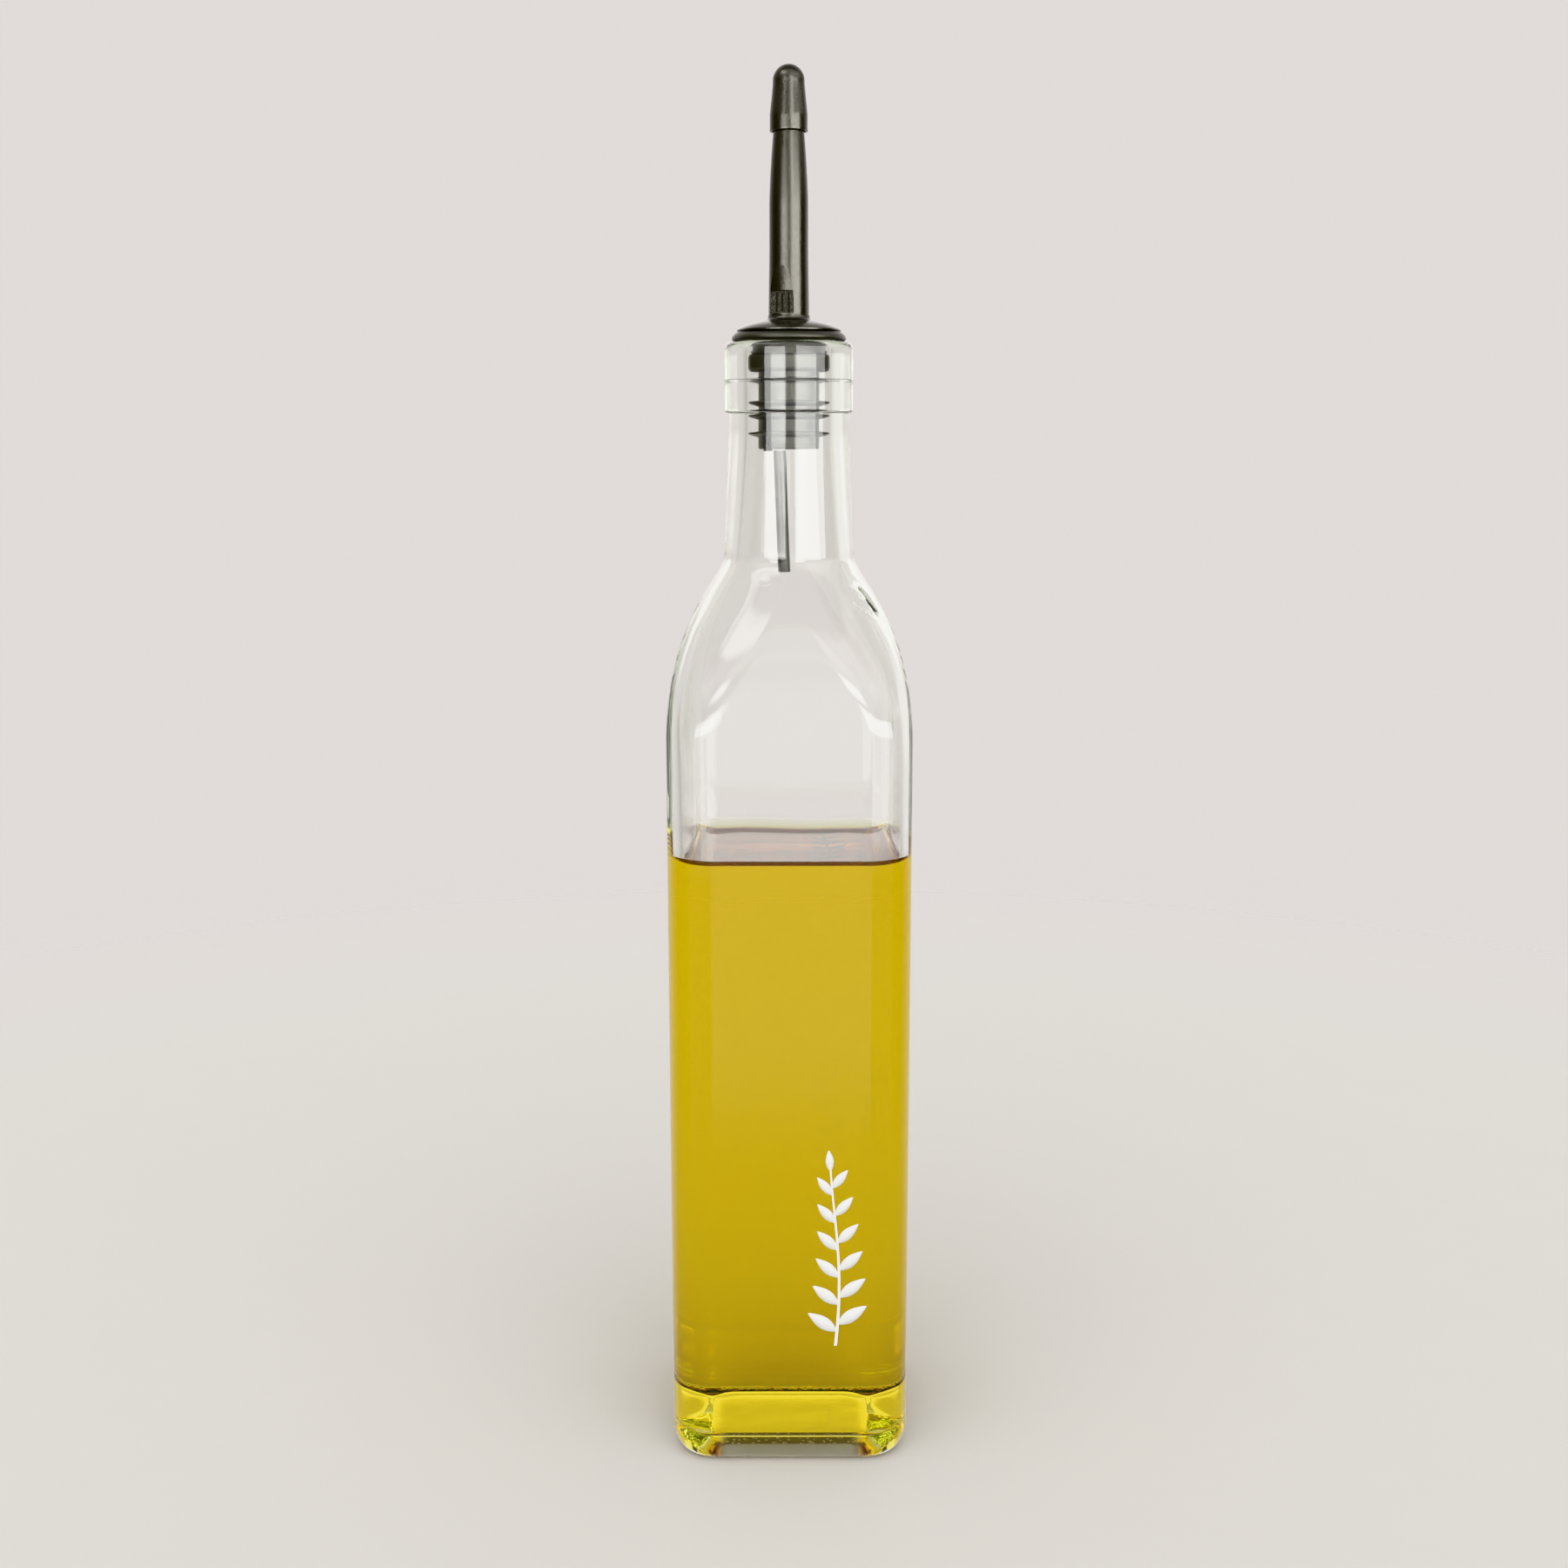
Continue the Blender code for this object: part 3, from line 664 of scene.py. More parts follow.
    # Where oil wets the wall, the oil's own skin bends the light
    wetted = add_node(tree, "ShaderNodeAttribute", {"attribute_name": "wetted"})
    unseen = add_node(tree, "ShaderNodeBsdfTransparent")
    surface = add_node(tree, "ShaderNodeMixShader", inputs={
        0: wetted.outputs["Fac"], 1: clear.outputs[0], 2: unseen.outputs[0],
    })
    tint = add_node(tree, "ShaderNodeVolumeAbsorption", inputs={
        "Color": (*colours.glass, 1.0), "Density": 22.0,
    })
    add_node(tree, "ShaderNodeOutputMaterial", inputs={
        "Surface": surface.outputs[0], "Volume": tint.outputs[0],
    })
    return finish


def olive_oil(colours):
    """Filtered olive oil: clear golden green, deeper where the light goes further through it."""
    finish, tree = new_material("filtered olive oil")
    free = add_node(tree, "ShaderNodeBsdfGlass", inputs={
        "Color": WHITE, "Roughness": 0.0, "IOR": OIL_IOR,
    })
    # Against glass the oil's skin bends the light only a little, and the other way
    wet = add_node(tree, "ShaderNodeBsdfGlass", inputs={
        "Color": WHITE, "Roughness": 0.0, "IOR": OIL_IOR / GLASS_IOR,
    })
    wetted = add_node(tree, "ShaderNodeAttribute", {"attribute_name": "wetted"})
    surface = add_node(tree, "ShaderNodeMixShader", inputs={
        0: wetted.outputs["Fac"], 1: free.outputs[0], 2: wet.outputs[0],
    })
    body = add_node(tree, "ShaderNodeVolumeAbsorption", inputs={
        "Color": (*colours.oil, 1.0), "Density": 90.0,
    })
    add_node(tree, "ShaderNodeOutputMaterial", inputs={
        "Surface": surface.outputs[0], "Volume": body.outputs[0],
    })
    return finish


def moulded_plastic(name, tint, roughness, grain):
    """Injection moulded black plastic: a satin skin with a fine spark texture and faint flow marks."""
    finish, tree = new_material(name)
    place = add_node(tree, "ShaderNodeTexCoord").outputs["Object"]
    # Spark texture of about 0.25 mm
    spark = add_node(tree, "ShaderNodeTexNoise", inputs={
        "Vector": place, "Scale": 4000.0, "Detail": 2.0,
    })
    # Flow marks of about 4 mm
    flow = add_node(tree, "ShaderNodeTexNoise", inputs={
        "Vector": place, "Scale": 240.0, "Detail": 2.0,
    })
    shine = add_node(tree, "ShaderNodeMapRange", inputs={
        "Value": flow.outputs["Fac"], "To Min": roughness - 0.05, "To Max": roughness + 0.05,
    })
    shade = add_node(tree, "ShaderNodeMix", {"data_type": "RGBA"}, {
        0: flow.outputs["Fac"],
        6: (*[c * 0.8 for c in tint], 1.0),
        7: (*[c * 1.2 for c in tint], 1.0),
    })
    bump = add_node(tree, "ShaderNodeBump", inputs={
        "Height": spark.outputs["Fac"], "Strength": grain, "Distance": 0.00010,
    })
    skin = add_node(tree, "ShaderNodeBsdfPrincipled", inputs={
        "Base Color": shade.outputs[2],
        "Roughness": shine.outputs[0],
        "IOR": PLASTIC_IOR,
        "Specular IOR Level": 1.2,
        "Specular Tint": (1.0, 0.97, 0.86, 1.0),
        "Normal": bump.outputs[0],
    })
    add_node(tree, "ShaderNodeOutputMaterial", inputs={"Surface": skin.outputs[0]})
    return finish


def vinyl_transfer(colours):
    """Cut white vinyl film: opaque, satin, with the faintest grain."""
    finish, tree = new_material("cut white vinyl film")
    place = add_node(tree, "ShaderNodeTexCoord").outputs["Object"]
    # Film grain of about 0.5 mm
    grain = add_node(tree, "ShaderNodeTexNoise", inputs={
        "Vector": place, "Scale": 2000.0, "Detail": 2.0,
    })
    shade = add_node(tree, "ShaderNodeMix", {"data_type": "RGBA"}, {
        0: grain.outputs["Fac"],
        6: (*[c * 0.95 for c in colours.vinyl], 1.0),
        7: (*colours.vinyl, 1.0),
    })
    bump = add_node(tree, "ShaderNodeBump", inputs={
        "Height": grain.outputs["Fac"], "Strength": 0.3, "Distance": 0.00002,
    })
    skin = add_node(tree, "ShaderNodeBsdfPrincipled", inputs={
        "Base Color": shade.outputs[2], "Roughness": 0.45, "Normal": bump.outputs[0],
    })
    add_node(tree, "ShaderNodeOutputMaterial", inputs={"Surface": skin.outputs[0]})
    return finish


def squareness(sizes, height):
    """How far a ring is still a square: 1 in the body and 0 where the neck is round."""
    round_by = sizes.neck_foot - 0.0045
    return 1.0 - smoothstep((height - sizes.shoulder_foot) / (round_by - sizes.shoulder_foot))


def outer_row(sizes, half, height):
    """A ring of the outside. Under the shoulder its corners keep one centre as it draws in."""
    inset = max(sizes.width / 2 - half, 0.0) if height < sizes.shoulder_foot else 0.0
    corner = mix(half, sizes.corner - inset, squareness(sizes, height))
    # The row carries painted edge shade, which darkens the glass along the parting line and the ring's
    # lower edge
    return {"half": half, "corner": corner, "height": height, "seam": painted_edge_shade_share(sizes, height)}


def wave_share(sizes, height):
    """The blown wall waves between the thick base and the round bore."""
    return smoothstep((height - 0.012) / 0.030) * (1.0 - smoothstep((height - 0.200) / 0.018))


def inner_row(sizes, half, height, wetted, grow_by=0.0):
    """A ring of the cavity, or of what fills it."""
    square = squareness(sizes, height)
    widest = sizes.width / 2 - sizes.wall
    inset = max(widest - half, 0.0) if height < sizes.shoulder_foot else 0.0
    corner = max(sizes.cavity_corner - inset, min(0.003, half))
    return {
        "half": half + grow_by,
        "corner": mix(half, corner, square) + grow_by,
        "height": height,
        "shift": sizes.lean * square,
        "wave": wave_share(sizes, height),
        "wetted": wetted,
    }


def base_rows(sizes):
    """The push-up with its flat middle and sloping rim, the bearing ring and the heel."""
    rows = [{"half": 0.0, "corner": 0.0, "height": sizes.push_up}]
    top, foot = sizes.push_up_top, sizes.push_up_half
    middle = [(top * share, sizes.push_up) for share in PUSH_UP_SHARES]
    steps = 14
    rim = []
    for i in range(steps + 1):
        part = i / steps
        drop = mix(part, smoothstep(part), 0.5)
        rim.append((mix(top, foot, part), sizes.push_up * (1.0 - drop)))
    for half, height in middle + rim:
        rows.append({"half": half, "corner": half * PUSH_UP_CORNER_SHARE, "height": height})
    heel = []
    for out, up in arc((0.0, 0.0), 1.0, -90, 0, 18):
        half = sizes.width / 2 - sizes.heel * (1.0 - out)
        heel.append((half, sizes.heel_rise * (1.0 + up)))
    bearing = straight((foot, 0.0), heel[0], 4)
    return rows + [outer_row(sizes, half, height) for half, height in bearing + heel]


def outside_points(sizes):
    """The outside from over the heel to the lip."""
    widest = sizes.width / 2
    body = straight((widest, sizes.heel_rise), (widest, sizes.shoulder_foot), 24)
    neck_start = (sizes.neck_foot_radius, sizes.neck_foot)
    shoulder = bezier(
        (widest, sizes.shoulder_foot),
        (widest, sizes.shoulder_foot + sizes.shoulder_pull),
        (sizes.neck_foot_radius, sizes.neck_foot - 0.0071),
        neck_start,
        44,
    )
    neck = []
    for i in range(1, 15):
        height = mix(sizes.neck_foot, sizes.ring_foot, i / 14)
        flare = ((sizes.ring_foot - height) / (sizes.ring_foot - sizes.neck_foot)) ** 1.6
        neck.append((mix(sizes.neck_radius, sizes.neck_foot_radius, flare), height))
    rounding = RING_FOOT_ROUNDING
    ring = sizes.ring_radius
    foot = arc((ring - rounding, sizes.ring_foot + rounding), rounding, -90, 0, 5)
    foot.append((ring, sizes.ring_foot + rounding + 0.0001))
    parting = [(ring, sizes.parting - 0.0003)]
    for step in (-2, -1, 0, 1, 2):
        ridge = PARTING_RIDGE * (1.0 - (step / 2) ** 2)
        parting.append((ring + ridge, sizes.parting + 0.00010 * step))
    parting.append((ring, sizes.parting + 0.0003))
    lip = [(ring, sizes.height - LIP_ROUNDING - 0.0001)]
    lip += arc((ring - LIP_ROUNDING, sizes.height - LIP_ROUNDING), LIP_ROUNDING, 0, 90, 10)
    return body + shoulder + neck + foot + parting + lip


def painted_edge_shade_share(sizes, height):
    """How much painted shade darkens a ring of the outside: dark lines painted on the parting line and
    on the ring's lower edge.
    """
    if abs(height - sizes.parting) < 0.00015:
        return 0.6
    if sizes.ring_foot - 0.00001 < height < sizes.ring_foot + 0.0003:
        return 0.35
    return 0.0


def inside_points(sizes):
    """The inside from the lip down to the foot of the shoulder."""
    mouth = bezier(
        (sizes.bore_radius + 0.0014, sizes.height),
        (sizes.bore_radius + 0.0005, sizes.height),
        (sizes.bore_radius + 0.0002, sizes.height - 0.0014),
        (sizes.bore_radius, sizes.height - 0.0028),
        12,
    )
    mouth.append((sizes.bore_radius, sizes.height - 0.0030))
    bore = []
    for i in range(17):
        height = mix(sizes.bore_end, sizes.bore_foot, i / 16)
        flare = ((sizes.bore_end - height) / (sizes.bore_end - sizes.bore_foot)) ** 1.3
        bore.append((mix(sizes.bore_radius, sizes.bore_foot_radius, flare), height))
    widest = sizes.width / 2 - sizes.wall
    shoulder = bezier(
        (sizes.bore_foot_radius, sizes.bore_foot),
        (sizes.bore_foot_radius, sizes.bore_foot - 0.0071),
        (widest, sizes.shoulder_foot + sizes.shoulder_pull - 0.6 * sizes.wall),
        (widest, sizes.shoulder_foot),
        44,
    )
    return mouth + bore + shoulder[1:]


def cavity_points(sizes, top):
    """The cavity from a height in the body down its wall and round its foot to the middle."""
    widest = sizes.width / 2 - sizes.wall
    center = (widest - sizes.fillet, sizes.floor + sizes.fillet)
    fillet = arc(center, sizes.fillet, 0, -90, 16)
    wall = straight((widest, top), fillet[0], 24)
    floor = straight(fillet[-1], (0.0, sizes.floor), 8)
    return wall + fillet + floor + [(0.0, sizes.floor)]


def floor_row(sizes, half, height, grow_by=0.0):
    row = inner_row(sizes, half, height, 1.0, grow_by)
    flat_half = sizes.width / 2 - sizes.wall - sizes.fillet
    if half < flat_half:
        row["corner"] = mix(half, 0.003, half / flat_half) + (grow_by if half else 0.0)
    if half == 0.0:
        row["half"] = row["corner"] = 0.0
    row["height"] = height - (grow_by if half <= flat_half else 0.0)
    return row


def contact_height(settings):
    return settings.oil.level + settings.oil.rise


class OILBOTTLE_OT_glass(bpy.types.Operator):
    """Blow the clear glass bottle, with its thick base, shoulder, neck and finish ring"""

    bl_idname = "oilbottle.glass"
    bl_label = "Glass"

    def execute(self, context):
        settings = context.scene.oil_bottle
        sizes = settings.bottle
        widest = sizes.width / 2 - sizes.wall
        contact = contact_height(settings)
        rows = base_rows(sizes)
        rows += [outer_row(sizes, *point) for point in outside_points(sizes)]
        rows += [inner_row(sizes, *point, 0.0) for point in inside_points(sizes)]
        dry = straight((widest, sizes.shoulder_foot), (widest, contact), 6)
        rows += [inner_row(sizes, *point, 0.0) for point in dry]
        rows.append(inner_row(sizes, widest, contact, 1.0))
        rows += [floor_row(sizes, *point) for point in cavity_points(sizes, contact)]
        piece = grow_rings(
            "clear_glass_bottle",
            rows,
            soda_glass(settings.colours),
            BOTTLE_POINTS,
            CROWDING,
            (sizes.wave, sizes.wave_length),
        )
        place_piece(piece, "clear_glass", "glass_bottle")
        return {"FINISHED"}


class OILBOTTLE_OT_oil(bpy.types.Operator):
    """Fill the bottle with oil up to its level, with the meniscus that climbs the glass"""

    bl_idname = "oilbottle.oil"
    bl_label = "Oil"

    def execute(self, context):
        settings = context.scene.oil_bottle
        sizes = settings.bottle
        oil = settings.oil
        widest = sizes.width / 2 - sizes.wall
        contact = contact_height(settings)
        rows = [floor_row(sizes, *point, oil.bite) for point in cavity_points(sizes, contact)][::-1]
        rows.append(inner_row(sizes, widest, contact, 1.0, oil.bite))
        for distance in SURFACE_DISTANCES:
            away = distance / 1000
            row = inner_row(sizes, widest - away, contact, 0.0)
            row["height"] = oil.level + oil.rise * math.exp(-((away / oil.reach) ** 0.85))
            row["wave"] *= 1.0 - smoothstep(away / 0.004)
            rows.append(row)
        rows.append({"half": 0.0, "corner": 0.0, "height": oil.level, "shift": sizes.lean})
        piece = grow_rings(
            "golden_olive_oil",
            rows,
            olive_oil(settings.colours),
            BOTTLE_POINTS,
            CROWDING,
            (sizes.wave, sizes.wave_length),
        )
        place_piece(piece, "olive_oil", "olive_oil")
        return {"FINISHED"}


def stopper_points(sizes):
    """The stopper's core, its collar and the rim that lies on the lip."""
    foot = STOPPER_LOW.z + 0.0005
    points = [(0.0, foot)]
    points += arc((sizes.core - 0.0003, foot + 0.0003), 0.0003, -90, 0, 4)
    points.append((sizes.core, sizes.collar_foot))
    inner = sizes.fin - COLLAR_ROUNDING
    points += arc((inner, sizes.collar_foot + COLLAR_ROUNDING), COLLAR_ROUNDING, -90, 0, 8)
    points += arc((inner, sizes.collar_top - COLLAR_ROUNDING), COLLAR_ROUNDING, 0, 60, 6)
    under = GLASS_HIGH.z + AIR_GAP
    top = STOPPER_HIGH.z
    points += [(sizes.neck, sizes.collar_top), (sizes.neck, under)]
    points += bezier(
        (sizes.rim - 0.0006, under),
        (sizes.rim + 0.0002, under),
        (sizes.rim + 0.0002, mix(under, top, 0.6)),
        (sizes.rim - 0.0010, top),
        14,
    )
    points.append((0.0, top))
    return points


class OILBOTTLE_OT_stopper(bpy.types.Operator):
    """Turn the stopper's core, collar and rim"""

    bl_idname = "oilbottle.stopper"
    bl_label = "Stopper"

    def execute(self, context):
        settings = context.scene.oil_bottle
        finish = moulded_plastic("moulded black polyethylene", settings.colours.plastic, 0.36, 0.45)
        piece = grow_rings("stopper_core", round_rows(stopper_points(settings.pourer)), finish)
        height = STOPPER_LOW.z + RIB_SIZE[2] / 2
        rib = block("core rib", RIB_SIZE, (settings.pourer.core - 0.0002, 0.0, height), RIB_AZIMUTH)
        carve(piece, [(rib, "UNION")], finish)
        place_piece(piece, "black_stopper", "pourer_stopper")
        return {"FINISHED"}


def fin_rows(sizes):
    """One fin as a closed ring, sunk a little into the core."""
    root = sizes.core - 0.0004
    tip = sizes.fin - sizes.fin_tip / 2
    points = [(root, -0.0011), (sizes.core, -0.0010)]
    points += arc((tip, -0.0001), sizes.fin_tip / 2, -80, 80, 6)
    points += [(sizes.core, sizes.fin_root - 0.0010), (root, sizes.fin_root - 0.0009)]
    points.append((root, -0.0011))
    return round_rows(points)


def fins_tree():
    """Sets one fin at each point."""
    tree, given = new_tree("stopper fins", (
        ("Fin", "NodeSocketObject"),
        ("Finish", "NodeSocketMaterial"),
    ))
    fin = add_node(
        tree, "GeometryNodeObjectInfo", {"transform_space": "ORIGINAL"}, {"Object": given["Fin"]}
    )
    fins = add_node(tree, "GeometryNodeInstanceOnPoints", inputs={
        "Points": given["Geometry"], "Instance": fin.outputs["Geometry"],
    })
    end_tree(tree, fins.outputs[0], given["Finish"])
    return tree


class OILBOTTLE_OT_fins(bpy.types.Operator):
    """Set the soft fins that seal the stopper in the bore"""

    bl_idname = "oilbottle.fins"
    bl_label = "Stopper fins"

    def execute(self, context):
        settings = context.scene.oil_bottle
        finish = bpy.data.materials["moulded black polyethylene"]
        fin = grow_rings("one_fin", fin_rows(settings.pourer), finish)
        points = bpy.data.meshes.new("fin places")
        points.from_pydata([(0.0, 0.0, height) for height in FIN_HEIGHTS], [], [])
        piece = grow("stopper_fins", points, fins_tree(), {"Fin": fin, "Finish": finish})
        bpy.data.objects.remove(fin)
        piece.data.set_sharp_from_angle(angle=math.radians(SHARP_ANGLE))
        place_piece(piece, "black_stopper", "pourer_stopper")
        return {"FINISHED"}


def spout_radius(sizes, height):
    """Radius of the tapered shaft from its foot to the cap."""
    if height < sizes.spout_middle:
        part = (height - sizes.spout_foot) / (sizes.spout_middle - sizes.spout_foot)
        return mix(sizes.spout_foot_radius, sizes.spout_middle_radius, smoothstep(part * 1.5))
    part = (height - sizes.spout_middle) / (sizes.spout_neck - sizes.spout_middle)
    return mix(sizes.spout_middle_radius, sizes.spout_neck_radius, min(part, 1.0) ** 1.5)


def spout_points(sizes):
    """The flat dome on the stopper's rim, its fillet and the shaft."""
    foot = SPOUT_LOW.z
    dome = sizes.dome
    top = foot + 0.0025
    ledge = sizes.spout_foot_radius + 0.00015
    points = [(0.0, foot), (dome - 0.0002, foot), (dome, foot + 0.0001)]
    points += bezier(
        (dome, foot + 0.0004),
        (dome - 0.0013, foot + 0.0014),
        (0.0080, top - 0.0004),
        (0.0060, top),
        18,
    )
    points += bezier(
        (0.0060, top),
        (0.0053, top + 0.0001),
        (ledge, top + 0.0004),
        (ledge, sizes.spout_foot - 0.0001),
        10,
    )[1:]
    points.append((sizes.spout_foot_radius, sizes.spout_foot))
    steps = 40
    for i in range(1, steps + 1):
        height = mix(sizes.spout_foot, sizes.spout_neck, i / steps)
        points.append((spout_radius(sizes, height), height))
    tip = 0.00295
    points += arc((tip - 0.0003, SPOUT_HIGH.z - 0.0003), 0.0003, 0, 90, 4)
    points.append((0.0, SPOUT_HIGH.z))
    return points


def cutter(name, mesh, azimuth=VENT_AZIMUTH):
    """A cutter whose own +X points towards the azimuth."""
    bmesh.ops.recalc_face_normals(mesh, faces=mesh.faces)
    data = bpy.data.meshes.new(name)
    mesh.to_mesh(data)
    mesh.free()
    data.transform(Matrix.Rotation(azimuth, 4, "Z"))
    shape = bpy.data.objects.new(name, data)
    bpy.context.scene.collection.objects.link(shape)
    return shape


def block(name, size, center, azimuth=VENT_AZIMUTH):
    mesh = bmesh.new()
    bmesh.ops.create_cube(mesh, size=1.0)
    bmesh.ops.scale(mesh, vec=size, verts=mesh.verts)
    bmesh.ops.translate(mesh, vec=center, verts=mesh.verts)
    return cutter(name, mesh, azimuth)


def carve(piece, shapes, finish):
    """Cuts or joins each shape, and keeps the result as the piece's own mesh."""
    for shape, operation in shapes:
        shape.data.materials.append(finish)
        modifier = piece.modifiers.new(shape.name, "BOOLEAN")
        modifier.operation = operation
        modifier.object = shape
        modifier.solver = "EXACT"
    evaluated(piece)
    for shape, _ in shapes:
        bpy.data.objects.remove(shape)
    piece.data.shade_smooth()
    piece.data.set_sharp_from_angle(angle=math.radians(SHARP_ANGLE))


def drawn_out(outline, start, depth):
    """A slab from an outline in the XZ plane at y = start, as deep along Y as it says."""
    mesh = bmesh.new()
    face = mesh.faces.new([mesh.verts.new((x, start, z)) for x, z in outline])
    sides = bmesh.ops.extrude_face_region(mesh, geom=[face])["geom"]
    moved = [item for item in sides if isinstance(item, bmesh.types.BMVert)]
    bmesh.ops.translate(mesh, vec=(0.0, depth, 0.0), verts=moved)
    return mesh


def scoop(sizes):
    """The sweep of the hollow over the spout's foot."""
    deepest = sizes.spout_foot_radius - 0.0011
    outline = [(0.0095, SCOOP_TOP)]
    for i in range(25):
        height = mix(SCOOP_TOP, SCOOP_FOOT, i / 24)
        rise = height - SCOOP_FOOT
        outline.append((deepest + SCOOP_RADIUS - math.sqrt(SCOOP_RADIUS ** 2 - rise ** 2), height))
    outline += [(deepest, sizes.spout_foot + 0.0002), (0.0095, sizes.spout_foot + 0.0002)]
    return cutter("vent scoop", drawn_out(outline, -0.007, 0.014))


class OILBOTTLE_OT_spout(bpy.types.Operator):
    """Mould the spout with its dome and the slotted air vent at its foot"""

    bl_idname = "oilbottle.spout"
    bl_label = "Spout"

    def execute(self, context):
        settings = context.scene.oil_bottle
        sizes = settings.pourer
        finish = moulded_plastic("moulded black polypropylene", settings.colours.plastic, 0.13, 0.45)
        piece = grow_rings("pouring_spout", round_rows(spout_points(sizes)), finish)
        slot_height = sizes.spout_foot + 0.0006 + 0.0021
        shapes = [
            (scoop(sizes), "DIFFERENCE"),
            (block("vent boss", (0.0026, 0.0036, 0.0056), (0.0029, 0.0, 0.2738)), "UNION"),
            (block("left slot", SLOT_SIZE, (0.0042, -0.0009, slot_height)), "DIFFERENCE"),
            (block("right slot", SLOT_SIZE, (0.0042, 0.0005, slot_height)), "DIFFERENCE"),
        ]
        carve(piece, shapes, finish)
        place_piece(piece, "black_spout", "pourer_spout")
        return {"FINISHED"}


def cap_points(sizes):
    """The dust cap, from the roof of its hollow round its rim to its crown."""
    rim = CAP_LOW.z
    crown = CAP_HIGH.z - sizes.cap_crown
    wall = 0.0034
    points = [(0.0, SPOUT_HIGH.z + AIR_GAP), (0.00325, SPOUT_HIGH.z + AIR_GAP)]
    points += [(sizes.spout_neck_radius + AIR_GAP, rim + 0.00015)]
    points += [(sizes.spout_neck_radius + 0.00045, rim), (sizes.cap_rim - 0.00015, rim)]
    points += arc((sizes.cap_rim - 0.00015, rim + 0.00015), 0.00015, -60, 0, 4)
    points += straight((sizes.cap_rim, rim), (sizes.cap_rim, rim + wall), 5)
    points += bezier(
        (sizes.cap_rim, rim + wall),
        (sizes.cap_rim - 0.0001, rim + wall + 0.0015),
        (sizes.cap_crown, crown - 0.0015),
        (sizes.cap_crown, crown),
        14,
    )
    points += arc((0.0, crown), sizes.cap_crown, 0, 90, 24)[1:]
    return points


class OILBOTTLE_OT_cap(bpy.types.Operator):
    """Mould the dust cap over the spout's tip"""

    bl_idname = "oilbottle.cap"
    bl_label = "Dust cap"

    def execute(self, context):
        settings = context.scene.oil_bottle
        finish = moulded_plastic("moulded black soft polyethylene", settings.colours.plastic, 0.13, 0.45)
        piece = grow_rings("dust_cap", round_rows(cap_points(settings.pourer)), finish)
        place_piece(piece, "black_cap", "spout_cap")
        return {"FINISHED"}


class OILBOTTLE_OT_tube(bpy.types.Operator):
    """Hang the thin air tube in the neck"""

    bl_idname = "oilbottle.tube"
    bl_label = "Air tube"

    def execute(self, context):
        settings = context.scene.oil_bottle
        sizes = settings.pourer
        finish = moulded_plastic("extruded grey polyethylene", settings.colours.tube, 0.30, 0.2)
        low, high = TUBE_LOW.z, TUBE_HIGH.z
        points = arc((sizes.tube - 0.0001, low + 0.0001), 0.0001, -90, 0, 3)
        points += straight((sizes.tube, low), (sizes.tube, high), 12)
        points += [(sizes.tube, high), (sizes.tube_bore, high)]
        points += straight((sizes.tube_bore, high), (sizes.tube_bore, low), 12)
        points += [(sizes.tube_bore, low), points[0]]
        piece = grow_rings("air_tube_pipe", round_rows(points), finish, TUBE_POINTS)
        # The tube leans: its lower end hangs nearer to the axis than its upper end
        for vertex in piece.data.vertices:
            part = (vertex.co.z - low) / (high - low)
            vertex.co.xy += TUBE_FOOT.lerp(TUBE_HEAD, part)
        place_piece(piece, "tube_plastic", "air_tube")
        return {"FINISHED"}


def leaf_tree():
    """Sets a leaf at each point, turned and sized by the point."""
    tree, given = new_tree("sprig leaves", (
        ("Leaf", "NodeSocketObject"),
        ("Finish", "NodeSocketMaterial"),
    ))
    leaf = add_node(
        tree, "GeometryNodeObjectInfo", {"transform_space": "ORIGINAL"}, {"Object": given["Leaf"]}
    )
    size, turn = [
        add_node(tree, "GeometryNodeInputNamedAttribute", {"data_type": "FLOAT"}, {"Name": name})
        for name in ("size", "turn")
    ]
    angles = add_node(tree, "ShaderNodeCombineXYZ", inputs={1: turn.outputs[0]})
    leaves = add_node(tree, "GeometryNodeInstanceOnPoints", inputs={
        "Points": given["Geometry"],
        "Instance": leaf.outputs["Geometry"],
        "Rotation": angles.outputs[0],
        "Scale": size.outputs[0],
    })
    end_tree(tree, leaves.outputs[0], given["Finish"])
    return tree


def flat_piece(name, outline, film):
    """A thin plate from an outline in the XZ plane, with its front a film's thickness towards -Y."""
    mesh = drawn_out(outline, 0.0, -film)
    bmesh.ops.triangulate(mesh, faces=[f for f in mesh.faces if len(f.verts) > 4])
    bmesh.ops.recalc_face_normals(mesh, faces=mesh.faces)
    data = bpy.data.meshes.new(name)
    mesh.to_mesh(data)
    mesh.free()
    plate = bpy.data.objects.new(name, data)
    bpy.context.scene.collection.objects.link(plate)
    return plate


def stem_side(sizes, part):
    """How far right of the bottle's middle the gently bowed stem stands, from foot to tip."""
    return sizes.side + 0.0012 * math.sin(math.pi * (1.2 * part + 0.1))


def stem_outline(sizes):
    """The stem as a line that thins towards its tip."""
    left, right = [], []
    steps = 32
    for i in range(steps + 1):
        part = i / steps
        height = mix(sizes.foot, sizes.top, part)
        middle = stem_side(sizes, part)
        half = sizes.stroke / 2 * mix(1.0, 0.55, part)
        left.append((middle - half, height))
        right.append((middle + half, height))
    return left[::-1] + right


def leaf_outline():
    """A pointed leaf of length 1, fullest under its middle."""
    side = []
    steps = 12
    for i in range(steps + 1):
        part = i / steps
        side.append((0.19 * math.sin(math.pi * part) ** 0.85 * (1.15 - 0.4 * part), part))
    return side[:-1] + [(-x, z) for x, z in side[:0:-1]]


